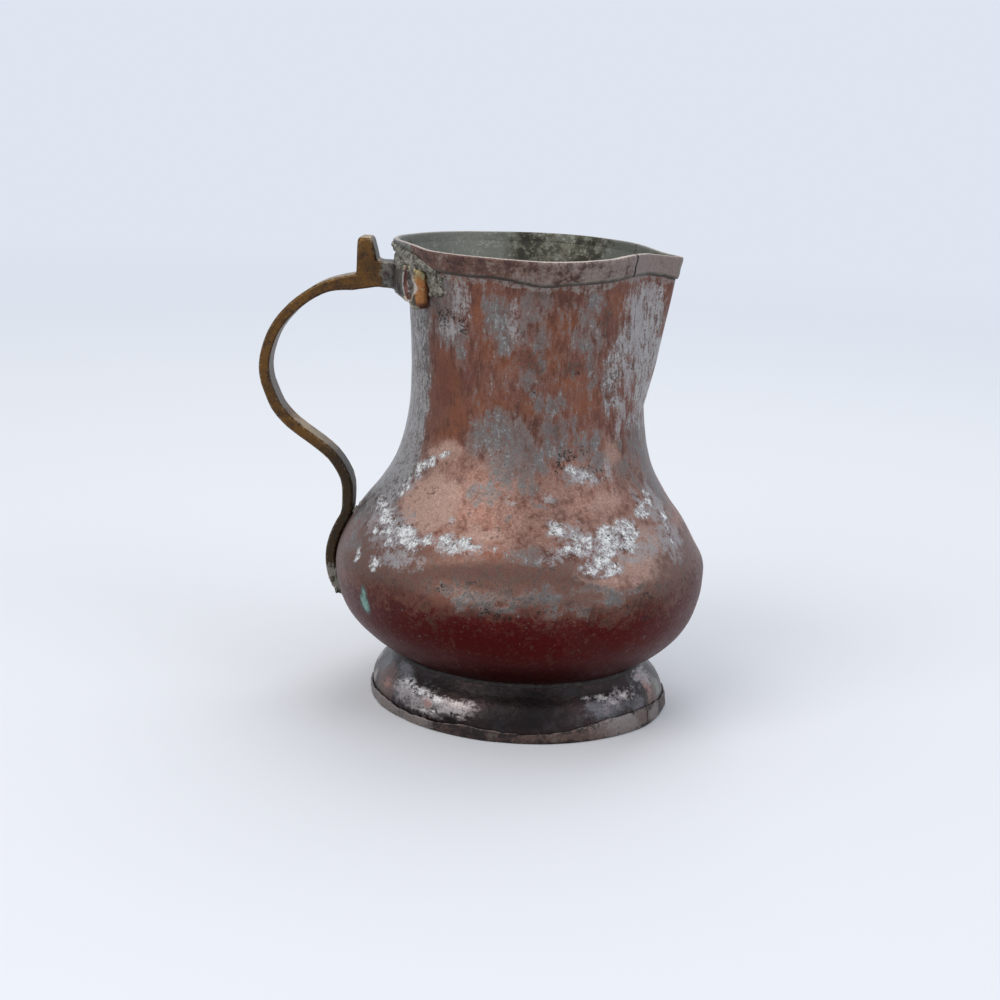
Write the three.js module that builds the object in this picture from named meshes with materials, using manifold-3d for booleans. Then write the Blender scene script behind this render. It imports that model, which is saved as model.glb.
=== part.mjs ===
// A raised copper pitcher with a cast brass handle, in millimetres, +Z up.
// The spout points along +X and the handle along -X. The foot stands on z = 0.
// Radii are measured from the body's own axis, and "shift" moves that axis sideways along X.

import * as THREE from 'three';
import { mergeVertices } from 'three/addons/utils/BufferGeometryUtils.js';
import Module from 'manifold-3d';

const wasm = await Module();
wasm.setup();

// Sheet metal, and the play between pieces that touch each other
const bodySheet = 1.1;
const footSheet = 1.2;
const bandSheet = 1.1;
const play = 0.3;

// Body outline
const bowlBottomHeight = 12;
const bowlJointHeight = 24;
const bowlJointRadius = 60;
const bellyHeight = 72;
const bellyRadius = 94.6;
const neckHeight = 163;
const neckRadius = 58.9;
const mouthHeight = 235;
const mouthRadius = 64.6;

// How far the outline has gone between two of the sizes above: [share of the height, share of the radius]
const bowlShares = [[0.21, 0.47], [0.46, 0.81], [0.75, 0.97]];
const shoulderShares = [[0.13, 0.09], [0.285, 0.3], [0.44, 0.59], [0.59, 0.81], [0.77, 0.94]];
const mouthShares = [[0.56, 0], [0.79, 0.28]];

// The body is not quite straight: the foot sits towards the spout and the neck leans to the handle
const footShift = 3;
const mouthLean = 5.8;
const leanStartHeight = 150;

// Spout, a narrow fold drawn out of the neck
const spoutStartHeight = 157;
const spoutTipRadius = 78.5;
const spoutLowHalfAngle = 0.25;
const spoutTopHalfAngle = 0.115;
const spoutNoseAngle = 0.03;

// Belly seam, a lap between the two body shells
const seamHeight = 62;
const seamLap = 6;
const brazeFillet = 1.6;

// Foot
const footRadius = 75.7;
const footTopHeight = 26;
const footShares = [[0.27, 0.03], [0.44, 0.12], [0.62, 0.33], [0.81, 0.73]];
const footSolderReach = 2.6;
const footSolderBulge = 0.9;
const hemHeight = 5.6;
const hemInnerHeight = 3.4;
const hemJointAngle = -0.46;
const hemJointOpening = 0.7;

// Folded strips round the mouth
const bandHeight = 10.8;
const bandInnerHeight = 2.6;
const lipStripHalfAngle = 0.52;
const bandJointOpening = 0.6;

// Cast handle, hung from the mouth's strip
const saddleToBand = 1;
const webDepth = 12.8;
const saddleTopDrop = 0.4;
const saddleHeight = 18.3;
const saddleThickness = 6.5;
const saddleHalfAngle = 0.7;
const saddleFillet = 8;
const pocketAngle = 0.46;
const pocketDepth = 3;
const pocketHalfWidth = 6.2;
const pocketHalfHeight = 7;
const postStandOff = 14.9;
const postFootWidth = 11;
const postTopWidth = 6.6;
const postRise = 12;
const postTopRounding = 1.3;
const notchRadius = 2.5;
const strapWidth = 14;
const strapThickness = 5.6;
const strapRootThickness = 8.2;
const strapSwellShare = 0.125;
const strapDrop = 11.2;
const strapReach = 45.7;
const kneeReach = 19.6;
const tailTouchHeight = 92;
const tailEndHeight = 57.5;
const handleEdge = 0.9;

// The strap's middle line in side view. The bow swings out from the post and back, and the knee
// meets the belly: [share of the bow's or knee's reach, share of the way down to the belly]
const strapBowShares = [
  [0.037, 0], [0.197, 0.01], [0.344, 0.027], [0.523, 0.067], [0.727, 0.133], [0.906, 0.229],
  [1, 0.358], [0.983, 0.433], [0.93, 0.488], [0.843, 0.555], [0.683, 0.618],
];
const strapKneeShares = [
  [1, 0.678], [0.684, 0.713], [0.378, 0.755], [0.036, 0.843], [-0.02, 0.895], [-0.03, 0.942],
];

// Tin solder at the handle
const upperSolderThickness = 2.2;
const upperSolderMarginAngle = 0.16;
const lowerSolderThickness = 1.9;
const lowerSolderMargin = 3.6;
const lowerSolderDrop = 6.5;

// Facets, and how far a cutting block runs past what it cuts
const roundSteps = 60;
const strapSteps = 46;
const bottomSteps = 4;
const beyond = 5;
const spoutCrowding = 0.4;
const facetSag = 0.2;
const longestFacet = 24;

// Finishes
const copper = { color: 0x8a5a48, roughness: 0.5, metalness: 0.85 };
const darkCopper = { color: 0x6f4038, roughness: 0.55, metalness: 0.8 };
const tinned = { color: 0x77736d, roughness: 0.45, metalness: 0.8 };
const brass = { color: 0x8a6a3a, roughness: 0.45, metalness: 0.85 };
const solder = { color: 0x8e8f88, roughness: 0.75, metalness: 0.5 };

// Outlines as smooth curves of height

function stationsBetween(from, to, shares) {
  return shares.map(([up, out]) => ({
    z: from.z + (to.z - from.z) * up,
    r: from.r + (to.r - from.r) * out,
  }));
}

function slopesOf(stations) {
  return stations.map((station, i) => {
    const before = stations[Math.max(i - 1, 0)];
    const after = stations[Math.min(i + 1, stations.length - 1)];
    return (after.r - before.r) / (after.z - before.z);
  });
}

function curveThrough(stations) {
  const slopes = slopesOf(stations);
  return (z) => {
    let i = 0;
    while (i < stations.length - 2 && z > stations[i + 1].z) i += 1;
    const from = stations[i];
    const to = stations[i + 1];
    const span = to.z - from.z;
    const t = (z - from.z) / span;
    const ease = t * t * (3 - 2 * t);
    const leave = t * (1 - t) * (1 - t) * slopes[i] * span;
    const arrive = t * t * (t - 1) * slopes[i + 1] * span;
    return from.r + (to.r - from.r) * ease + leave + arrive;
  };
}

const bowlJoint = { z: bowlJointHeight, r: bowlJointRadius };
const belly = { z: bellyHeight, r: bellyRadius };
const neck = { z: neckHeight, r: neckRadius };
const mouth = { z: mouthHeight, r: mouthRadius };
const bodyStations = [
  bowlJoint,
  ...stationsBetween(bowlJoint, belly, bowlShares),
  belly,
  ...stationsBetween(belly, neck, shoulderShares),
  neck,
  ...stationsBetween(neck, mouth, mouthShares),
  mouth,
];
const bodyRadius = curveThrough(bodyStations);

const footTop = { z: footTopHeight, r: bodyRadius(footTopHeight) + play + footSheet };
const footBottom = { z: 0, r: footRadius };
const footOutline = curveThrough([footBottom, ...stationsBetween(footBottom, footTop, footShares), footTop]);

function shiftAt(z) {
  if (z < bellyHeight) return footShift * ((bellyHeight - z) / bellyHeight) ** 1.5;
  if (z < leanStartHeight) return 0;
  return -mouthLean * ((z - leanStartHeight) / (mouthHeight - leanStartHeight)) ** 1.3;
}

// Height from which the spout's front edge rises in a straight line, and how far it stands out
function spoutOut(z, angle) {
  if (z <= spoutStartHeight) return 0;
  const up = (z - spoutStartHeight) / (mouthHeight - spoutStartHeight);
  const ridge = neckRadius + (spoutTipRadius - neckRadius) * up;
  const reach = Math.max(0, ridge - bodyRadius(z));
  const halfAngle = spoutLowHalfAngle + (spoutTopHalfAngle - spoutLowHalfAngle) * up;
  const along = Math.hypot(angle, spoutNoseAngle) - spoutNoseAngle;
  return reach * Math.exp(-along / halfAngle);
}

// Turned rings: a closed outline of [radius, height] points, spun and then bent to the body

function evenSteps(from, to, count) {
  return Array.from({ length: count + 1 }, (_, i) => from + (to - from) * (i / count));
}

// Heights between which a curve is nearly straight
function flatSteps(radiusAt, from, to) {
  const middle = (from + to) / 2;
  const sag = Math.abs(radiusAt(middle) - (radiusAt(from) + radiusAt(to)) / 2);
  if (sag < facetSag && to - from < longestFacet) return [from, to];
  return [...flatSteps(radiusAt, from, middle).slice(0, -1), ...flatSteps(radiusAt, middle, to)];
}

function bendToBody(geometry) {
  const place = geometry.getAttribute('position');
  for (let i = 0; i < place.count; i += 1) {
    const z = place.getZ(i);
    const radius = Math.hypot(place.getX(i), place.getY(i));
    const even = Math.atan2(place.getY(i), place.getX(i));
    const angle = even - spoutCrowding * Math.sin(even);
    const out = radius > 0 ? radius + spoutOut(z, angle) : 0;
    place.setXYZ(i, out * Math.cos(angle) + shiftAt(z), out * Math.sin(angle), z);
  }
  return geometry;
}

// The outline runs counter-clockwise as seen with the radius to the right and the height upwards
function turned(outline) {
  const points = outline.map(([r, z]) => new THREE.Vector2(r, z));
  if (outline[0][0] > 0) points.push(points[0].clone());
  const geometry = new THREE.LatheGeometry(points, roundSteps);
  geometry.rotateX(Math.PI / 2);
  geometry.rotateZ(Math.PI / 2);
  return bendToBody(geometry);
}

function insideOf(outline, distance) {
  return outline.map(([r, z], i) => {
    const before = outline[Math.max(i - 1, 0)];
    const after = outline[Math.min(i + 1, outline.length - 1)];
    const length = Math.hypot(after[0] - before[0], after[1] - before[1]);
    const inR = -(after[1] - before[1]) / length;
    const inZ = (after[0] - before[0]) / length;
    return [r === 0 ? 0 : r + inR * distance, z + inZ * distance];
  });
}

// Solids for cutting and joining

function solidOf(geometry) {
  const bare = geometry.clone();
  bare.deleteAttribute('normal');
  bare.deleteAttribute('uv');
  const merged = mergeVertices(bare, 1e-4);
  const vertProperties = new Float32Array(merged.getAttribute('position').array);
  const triVerts = new Uint32Array(merged.index.array);
  return new wasm.Manifold(new wasm.Mesh({ numProp: 3, vertProperties, triVerts }));
}

function geometryOf(solid) {
  const mesh = solid.getMesh();
  const geometry = new THREE.BufferGeometry();
  geometry.setAttribute('position', new THREE.BufferAttribute(mesh.vertProperties, 3));
  geometry.setIndex(new THREE.BufferAttribute(mesh.triVerts, 1));
  geometry.computeVertexNormals();
  return geometry;
}

// A side view of [x, z] points, extruded along Y and centred on it
function sideSolid(points, width, edge = 0) {
  const shape = new THREE.Shape(points.map(([x, z]) => new THREE.Vector2(x, z)));
  const geometry = new THREE.ExtrudeGeometry(shape, {
    depth: width - 2 * edge,
    bevelEnabled: edge > 0,
    bevelThickness: edge,
    bevelSize: edge,
    bevelOffset: -edge,
    bevelSegments: 1,
  });
  geometry.rotateX(Math.PI / 2);
  geometry.translate(0, width / 2 - edge, 0);
  return solidOf(geometry);
}

function planSolid(shape, bottom, top) {
  const geometry = new THREE.ExtrudeGeometry(shape, {
    depth: top - bottom,
    bevelEnabled: false,
    curveSegments: 10,
  });
  geometry.translate(0, 0, bottom);
  return solidOf(geometry);
}

// A wedge of space round the body's axis, from one angle to the other
function wedge(fromAngle, toAngle, centreX, bottom, top) {
  const reach = 2 * bellyRadius;
  const middle = (fromAngle + toAngle) / 2;
  const corners = [fromAngle, middle, toAngle].map(
    (angle) => new THREE.Vector2(centreX + reach * Math.cos(angle), reach * Math.sin(angle)),
  );
  return planSolid(new THREE.Shape([new THREE.Vector2(centreX, 0), ...corners]), bottom, top);
}

function block(x0, x1, y0, y1, z0, z1) {
  const geometry = new THREE.BoxGeometry(x1 - x0, y1 - y0, z1 - z0);
  geometry.translate((x0 + x1) / 2, (y0 + y1) / 2, (z0 + z1) / 2);
  return solidOf(geometry);
}

// Body shells

const wallTopHeight = mouthHeight - bandSheet - play;

// Rounded bottom of the bowl, from the axis out to where the foot is joined
function bowlBottomOutline() {
  const slope = slopesOf(bodyStations)[0];
  const knuckle = Math.max(bowlJointRadius - (bowlJointHeight - bowlBottomHeight) * slope, 1);
  const curve = new THREE.QuadraticBezierCurve(
    new THREE.Vector2(0, bowlBottomHeight),
    new THREE.Vector2(knuckle, bowlBottomHeight),
    new THREE.Vector2(bowlJointRadius, bowlJointHeight),
  );
  return curve.getPoints(bottomSteps).slice(0, -1).map((point) => [point.x, point.y]);
}

function wallOutline(fromHeight, toHeight) {
  return flatSteps(bodyRadius, fromHeight, toHeight).map((z) => [bodyRadius(z), z]);
}

function lowerBowl() {
  const outer = [...bowlBottomOutline(), ...wallOutline(bowlJointHeight, seamHeight)];
  const inner = insideOf(outer, bodySheet);
  const tuck = bodySheet + play;
  const lapHeights = evenSteps(seamHeight, seamHeight + seamLap, 2);
  const lapOuter = lapHeights.map((z) => [bodyRadius(z) - tuck, z]);
  const lapInner = lapHeights.map((z) => [bodyRadius(z) - tuck - bodySheet, z]);
  lapInner[0] = [lapInner[0][0], seamHeight - bodySheet];
  return turned([...outer, ...lapOuter, ...lapInner.reverse(), ...inner.slice(0, -1).reverse()]);
}

function upperBody() {
  const seamTop = seamHeight + seamLap;
  const overLap = evenSteps(seamHeight + play, seamTop, 2).map((z) => [bodyRadius(z), z]);
  const outer = [...overLap, ...wallOutline(seamTop, wallTopHeight).slice(1)];
  const inner = insideOf(outer, bodySheet);
  inner[0][1] = outer[0][1];
  inner[inner.length - 1][1] = wallTopHeight;
  return turned([...outer, ...inner.reverse()]);
}

// Brazing metal in the corner above the lap, on the inside
function bellyBraze() {
  const low = seamHeight + seamLap + play;
  const high = low + brazeFillet;
  const lowWall = bodyRadius(low) - bodySheet - play;
  const highWall = bodyRadius(high) - bodySheet - play;
  return turned([[lowWall - brazeFillet, low], [lowWall, low], [highWall, high]]);
}

// The body's outside as one full solid, grown by a clearance, for cutting what rests on it
function bodyWithClearance(clearance) {
  const outline = [...bowlBottomOutline(), ...wallOutline(bowlJointHeight, mouthHeight)];
  const grown = insideOf(outline, -clearance);
  const topHeight = grown[grown.length - 1][1];
  return solidOf(turned([...grown, [0, topHeight]]));
}

// Foot

function footRing() {
  const low = bandSheet + play;
  const outer = evenSteps(low, footTopHeight, 6).map((z) => [footOutline(z), z]);
  const inner = outer.map(([r, z]) => [r - footSheet, z]);
  return turned([...outer, ...inner.reverse()]);
}

// Strip folded under the foot's edge, with its two ends butted together
function footHem() {
  const outside = (z) => footOutline(z) + play;
  const inside = (z) => footOutline(z) - footSheet - play;
  const full = solidOf(turned([
    [inside(0) - bandSheet, 0],
    [outside(0) + bandSheet, 0],
    [outside(hemHeight) + bandSheet, hemHeight],
    [outside(hemHeight), hemHeight],
    [outside(bandSheet), bandSheet],
    [inside(bandSheet), bandSheet],
    [inside(hemInnerHeight), hemInnerHeight],
    [inside(hemInnerHeight) - bandSheet, hemInnerHeight],
  ]));
  const half = hemJointOpening / 2 / footRadius;
  const joint = wedge(hemJointAngle - half, hemJointAngle + half, shiftAt(0), -beyond, hemHeight + beyond);
  return geometryOf(full.subtract(joint));
}

// Solder in the sharp corner between the foot's outside and the bowl
function footSolder() {
  const top = footTopHeight;
  const low = top - footSolderReach;
  const high = top + footSolderReach / 2;
  const onFoot = [footOutline(low) + play, low];
  const onBowl = [bodyRadius(high) + 2 * play, high];
  const bulge = [(onFoot[0] + onBowl[0]) / 2 + footSolderBulge, (low + high) / 2];
  return turned([[footOutline(top) + play, top], onFoot, bulge, onBowl]);
}

// Folded strips round the mouth: a long one, and a short one round the spout

const bandBottomHeight = mouthHeight - bandHeight;
const bandOutside = (z) => bodyRadius(z) + play + bandSheet;

function mouthStrip() {
  const top = mouthHeight;
  const middle = (bandBottomHeight + top) / 2;
  const insideLow = top - bandSheet - bandInnerHeight;
  const inside = (z) => bodyRadius(z) - bodySheet - play;
  return solidOf(turned([
    [bandOutside(bandBottomHeight), bandBottomHeight],
    [bandOutside(middle), middle],
    [bandOutside(top), top],
    [inside(top) - bandSheet, top],
    [inside(insideLow) - bandSheet, insideLow],
    [inside(insideLow), insideLow],
    [inside(top - bandSheet), top - bandSheet],
    [bodyRadius(top - bandSheet) + play, top - bandSheet],
    [bodyRadius(middle) + play, middle],
    [bodyRadius(bandBottomHeight) + play, bandBottomHeight],
  ]));
}

function spoutWedge(opening) {
  const half = lipStripHalfAngle + opening / 2 / mouthRadius;
  return wedge(-half, half, shiftAt(mouthHeight), bandBottomHeight - beyond, mouthHeight + beyond);
}

function rimBand() {
  return geometryOf(mouthStrip().subtract(spoutWedge(bandJointOpening)));
}

function lipBand() {
  return geometryOf(mouthStrip().intersect(spoutWedge(-bandJointOpening)));
}

// Cast handle: strap, thumb post and saddle in one piece

const webTopHeight = bandBottomHeight - saddleToBand;
const webBottomHeight = webTopHeight - webDepth;
const saddleTopHeight = webTopHeight - saddleTopDrop;
const saddleBottomHeight = saddleTopHeight - saddleHeight;
const saddleMiddleHeight = (saddleBottomHeight + saddleTopHeight) / 2;
const saddleRadius = bodyRadius(saddleMiddleHeight);
const saddleCentre = shiftAt(saddleMiddleHeight);
const neckBack = saddleCentre - saddleRadius;
const postFootX = neckBack - postStandOff;
const postBackX = postFootX - postFootWidth;
const strapLeaveHeight = webTopHeight - strapDrop;
const tailOut = (z) => shiftAt(z) - bodyRadius(z) - play - strapThickness / 2;

function strapMiddleLine() {
  const tailX = tailOut(tailTouchHeight);
  const down = (share) => strapLeaveHeight - share * (strapLeaveHeight - tailTouchHeight);
  const onBelly = evenSteps(tailTouchHeight, tailEndHeight, 5).map((z) => [tailOut(z), z]);
  return [
    ...strapBowShares.map(([out, share]) => [postBackX - out * strapReach, down(share)]),
    ...strapKneeShares.map(([out, share]) => [tailX - out * kneeReach, down(share)]),
    ...onBelly,
  ];
}

// Both edges of the strap in side view, thicker where it leaves the post
function strapEdges() {
  const points = strapMiddleLine().map(([x, z]) => new THREE.Vector3(x, 0, z));
  const curve = new THREE.CatmullRomCurve3(points, false, 'centripetal');
  const outer = [];
  const inner = [];
  for (let i = 0; i <= strapSteps; i += 1) {
    const u = i / strapSteps;
    const at = curve.getPointAt(u);
    const along = curve.getTangentAt(u);
    const swell = Math.max(0, 1 - u / strapSwellShare) ** 2;
    const half = (strapThickness + (strapRootThickness - strapThickness) * swell) / 2;
    outer.push([at.x + along.z * half, at.z - along.x * half]);
    inner.push([at.x - along.z * half, at.z + along.x * half]);
  }
  return { outer, inner };
}

function strapAndPost() {
  const { outer, inner } = strapEdges();
  const insideNeck = neckBack + saddleThickness;
  const postTopX = postBackX + postTopWidth;
  const postTopHeight = webTopHeight + postRise;
  const outline = [
    [insideNeck, webTopHeight],
    [postFootX + notchRadius, webTopHeight],
    [postFootX + 0.3 * notchRadius, webTopHeight + 0.3 * notchRadius],
    [postFootX, webTopHeight + notchRadius],
    [postTopX, postTopHeight - postTopRounding],
    [postTopX - postTopRounding, postTopHeight],
    [postBackX + postTopRounding, postTopHeight],
    [postBackX, postTopHeight - postTopRounding],
    [postBackX, outer[0][1] + play],
    ...outer,
    ...inner.reverse(),
    [postFootX, webBottomHeight],
    [insideNeck, webBottomHeight],
  ];
  return sideSolid(outline, strapWidth, handleEdge);
}

// Plan view of the saddle: two wings round the neck, filleted into the web
function saddlePlan() {
  const outerRadius = saddleRadius + saddleThickness;
  const innerRadius = saddleRadius - saddleThickness;
  const webHalf = strapWidth / 2;
  const filletAngle = (webHalf + saddleFillet) / outerRadius;
  const ending = (angle, radius) => [saddleCentre + radius * Math.cos(angle), radius * Math.sin(angle)];
  const onWing = ending(Math.PI - filletAngle, outerRadius);
  const webX = saddleCentre - outerRadius - saddleFillet * 0.8;
  const cornerX = saddleCentre - Math.sqrt(outerRadius ** 2 - webHalf ** 2);
  const shape = new THREE.Shape();
  shape.moveTo(...ending(Math.PI - saddleHalfAngle, innerRadius));
  shape.lineTo(...ending(Math.PI - saddleHalfAngle, outerRadius));
  shape.absarc(saddleCentre, 0, outerRadius, Math.PI - saddleHalfAngle, Math.PI - filletAngle, false);
  shape.quadraticCurveTo(cornerX, webHalf, webX, webHalf);
  shape.lineTo(webX, -webHalf);
  shape.quadraticCurveTo(cornerX, -webHalf, onWing[0], -onWing[1]);
  shape.absarc(saddleCentre, 0, outerRadius, Math.PI + filletAngle, Math.PI + saddleHalfAngle, false);
  shape.lineTo(...ending(Math.PI + saddleHalfAngle, innerRadius));
  return shape;
}

// Side view that the wings are trimmed to: lower and deeper at their ends than at the web
function saddleSide() {
  const endX = saddleCentre - (saddleRadius + saddleThickness) * Math.cos(saddleHalfAngle);
  const rootX = neckBack - saddleThickness;
  const insideX = saddleCentre;
  const farX = rootX - saddleFillet * 2;
  return [
    [insideX, saddleBottomHeight],
    [insideX, saddleTopHeight],
    [endX, saddleTopHeight],
    [rootX, webTopHeight],
    [farX, webTopHeight],
    [farX, webBottomHeight],
    [rootX, webBottomHeight],
    [endX, saddleBottomHeight],
  ];
}

function pocket(side) {
  const radius = saddleRadius + saddleThickness;
  const angle = Math.PI + side * pocketAngle;
  const geometry = new THREE.SphereGeometry(1, 14, 8);
  geometry.scale(pocketDepth, pocketHalfWidth, pocketHalfHeight);
  geometry.rotateZ(angle);
  geometry.translate(
    saddleCentre + radius * Math.cos(angle),
    radius * Math.sin(angle),
    saddleMiddleHeight,
  );
  return solidOf(geometry);
}

function handle() {
  const wings = planSolid(saddlePlan(), saddleBottomHeight - beyond, webTopHeight + beyond)
    .intersect(sideSolid(saddleSide(), 4 * saddleRadius));
  const cast = strapAndPost().add(wings).subtract(pocket(1)).subtract(pocket(-1));
  return geometryOf(cast.subtract(bodyWithClearance(play)));
}

// Tin solder: a collar over the saddle and beside its wings, and a horseshoe under the strap's end

function clingingRing(low, high, thickness, steps) {
  const heights = evenSteps(low, high, steps);
  const inner = heights.map((z) => [bodyRadius(z) + play, z]);
  const outer = heights.map((z, i) => {
    const taper = i === 0 || i === steps ? 0.45 : 1;
    return [bodyRadius(z) + play + thickness * taper, z];
  });
  return solidOf(turned([...outer, ...inner.reverse()]));
}

function upperSolder() {
  const aboveWeb = webTopHeight + play;
  const underBand = bandBottomHeight - play;
  const overBand = mouthHeight - 2 * bandSheet;
  const halfAngle = saddleHalfAngle + upperSolderMarginAngle;
  const beside = saddleHalfAngle + play / saddleRadius;
  const reach = (angle) => wedge(
    Math.PI - angle, Math.PI + angle, saddleCentre, saddleBottomHeight - beyond, mouthHeight + beyond,
  );
  const collar = solidOf(turned([
    [bodyRadius(aboveWeb) + play, aboveWeb],
    [bandOutside(aboveWeb) + play + upperSolderThickness, aboveWeb],
    [bandOutside(overBand) + play + upperSolderThickness / 2, overBand],
    [bandOutside(overBand) + play, overBand],
    [bandOutside(underBand) + play, underBand],
    [bodyRadius(underBand) + play, underBand],
  ]));
  const cheeks = clingingRing(saddleBottomHeight, underBand, upperSolderThickness, 4)
    .subtract(reach(beside));
  return geometryOf(collar.add(cheeks).intersect(reach(halfAngle)));
}

function lowerSolder() {
  const low = tailEndHeight - lowerSolderDrop;
  const high = tailEndHeight + lowerSolderDrop;
  const halfOuter = strapWidth / 2 + lowerSolderMargin;
  const halfSlot = strapWidth / 2 + play;
  const back = -bellyRadius - beyond;
  const around = block(back, 0, -halfOuter, halfOuter, low - beyond, high + beyond);
  const tailSlot = block(back, 0, -halfSlot, halfSlot, tailEndHeight - play, high + beyond);
  return geometryOf(clingingRing(low, high, lowerSolderThickness, 4).intersect(around).subtract(tailSlot));
}

// The whole pitcher, with the middle of its box over the origin

const pitcher = new THREE.Group();

function addPiece(name, geometry, finish) {
  const piece = new THREE.Mesh(geometry, new THREE.MeshStandardMaterial(finish));
  piece.name = name;
  pitcher.add(piece);
}

addPiece('lower_bowl', lowerBowl(), darkCopper);
addPiece('upper_body', upperBody(), copper);
addPiece('belly_braze', bellyBraze(), brass);
addPiece('foot_ring', footRing(), tinned);
addPiece('foot_hem', footHem(), darkCopper);
addPiece('foot_solder', footSolder(), solder);
addPiece('rim_band', rimBand(), darkCopper);
addPiece('lip_band', lipBand(), darkCopper);
addPiece('handle', handle(), brass);
addPiece('upper_solder', upperSolder(), solder);
addPiece('lower_solder', lowerSolder(), solder);

const middle = new THREE.Box3().setFromObject(pitcher).getCenter(new THREE.Vector3());
pitcher.position.set(-middle.x, -middle.y, 0);

export default pitcher;
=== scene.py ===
import math

import bmesh
import bpy
import numpy as np
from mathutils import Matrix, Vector


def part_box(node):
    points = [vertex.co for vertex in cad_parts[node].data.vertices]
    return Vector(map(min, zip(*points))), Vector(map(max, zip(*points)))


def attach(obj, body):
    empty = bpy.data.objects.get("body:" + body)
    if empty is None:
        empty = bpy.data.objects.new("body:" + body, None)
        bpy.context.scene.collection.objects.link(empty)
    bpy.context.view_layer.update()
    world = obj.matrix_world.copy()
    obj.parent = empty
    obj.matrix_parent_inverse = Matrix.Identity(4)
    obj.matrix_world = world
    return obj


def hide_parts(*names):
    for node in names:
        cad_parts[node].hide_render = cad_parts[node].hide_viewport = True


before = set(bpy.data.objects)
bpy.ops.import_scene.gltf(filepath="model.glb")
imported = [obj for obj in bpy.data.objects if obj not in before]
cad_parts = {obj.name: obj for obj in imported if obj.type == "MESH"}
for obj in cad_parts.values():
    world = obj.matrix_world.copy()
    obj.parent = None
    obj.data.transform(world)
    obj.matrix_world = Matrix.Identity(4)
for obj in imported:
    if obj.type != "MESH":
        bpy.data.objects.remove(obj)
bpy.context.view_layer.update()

# An old hand-raised copper pitcher with patches of worn tin and a cast brass handle.
# Outlines and sizes below are in millimetres, finished meshes in metres.
mm = 0.001
fullTurn = 2 * math.pi
axisX = (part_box("upper_body")[0].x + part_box("upper_body")[1].x) / 2 / mm
print("frame loaded, body axis at x =", round(axisX, 2), "mm")

# Camera, floor and light

cameraPlace = dict(
    where=(0.08727, -0.99867, 0.33980),
    turnDegrees=(76.7109, -2.8789, 5.1005),
    lens=71.896,
    sensor=36,
    farthest=100,
)
studio = dict(
    floorHalf=14,
    floorDrop=0.0002,
    floorTone=(236, 238, 242),
    bounceTone=(150, 140, 136),
    farTone=(222, 229, 241),
    fadeStart=0.35,
    fadeEnd=2.2,
    skyTone=(236, 240, 247),
    skyStrength=0.62,
    lamps=[  # where it hangs, what it faces, width, watts, tone
        ((-1.1, -1.5, 1.7), (0.02, 0, 0.12), 1.6, 24, (255, 252, 248)),
        ((1.6, -0.9, 1.1), (0.02, 0, 0.12), 1.2, 7, (244, 248, 255)),
        ((0.2, 1.1, 1.9), (0.02, 0, 0.15), 1.4, 13, (250, 252, 255)),
    ],
)


def tone(red, green, blue):  # a screen colour from 0 to 255, as linear light
    parts = [c / 255 for c in (red, green, blue)]
    return tuple(((c + 0.055) / 1.055) ** 2.4 if c > 0.04 else c / 12.92 for c in parts) + (1,)


def setCamera():
    view = bpy.data.cameras.new("view")
    view.sensor_width = cameraPlace["sensor"]
    view.lens = cameraPlace["lens"]
    view.clip_end = cameraPlace["farthest"]
    stand = bpy.data.objects.new("view", view)
    stand.location = cameraPlace["where"]
    stand.rotation_euler = [math.radians(a) for a in cameraPlace["turnDegrees"]]
    bpy.context.scene.collection.objects.link(stand)
    bpy.context.scene.camera = stand


def seenDirectly(nodes, links):  # 1 for what the camera, a reflection or glass shows
    path = nodes.new("ShaderNodeLightPath")
    seen = path.outputs["Is Camera Ray"]
    for name in ("Is Glossy Ray", "Is Transmission Ray"):
        larger = nodes.new("ShaderNodeMath")
        larger.operation = "MAXIMUM"
        links.new(seen, larger.inputs[0])
        links.new(path.outputs[name], larger.inputs[1])
        seen = larger.outputs[0]
    return seen


def setWorld():
    world = bpy.data.worlds.new("paleRoom")
    bpy.context.scene.world = world
    world.use_nodes = True
    nodes, links = world.node_tree.nodes, world.node_tree.links
    nodes.clear()
    light = nodes.new("ShaderNodeBackground")
    light.inputs["Color"].default_value = tone(*studio["skyTone"])
    light.inputs["Strength"].default_value = studio["skyStrength"]
    shown = nodes.new("ShaderNodeBackground")
    shown.inputs["Color"].default_value = tone(*studio["farTone"])
    shown.inputs["Strength"].default_value = 1
    either = nodes.new("ShaderNodeMixShader")
    links.new(seenDirectly(nodes, links), either.inputs[0])
    links.new(light.outputs[0], either.inputs[1])
    links.new(shown.outputs[0], either.inputs[2])
    links.new(either.outputs[0], nodes.new("ShaderNodeOutputWorld").inputs[0])


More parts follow.
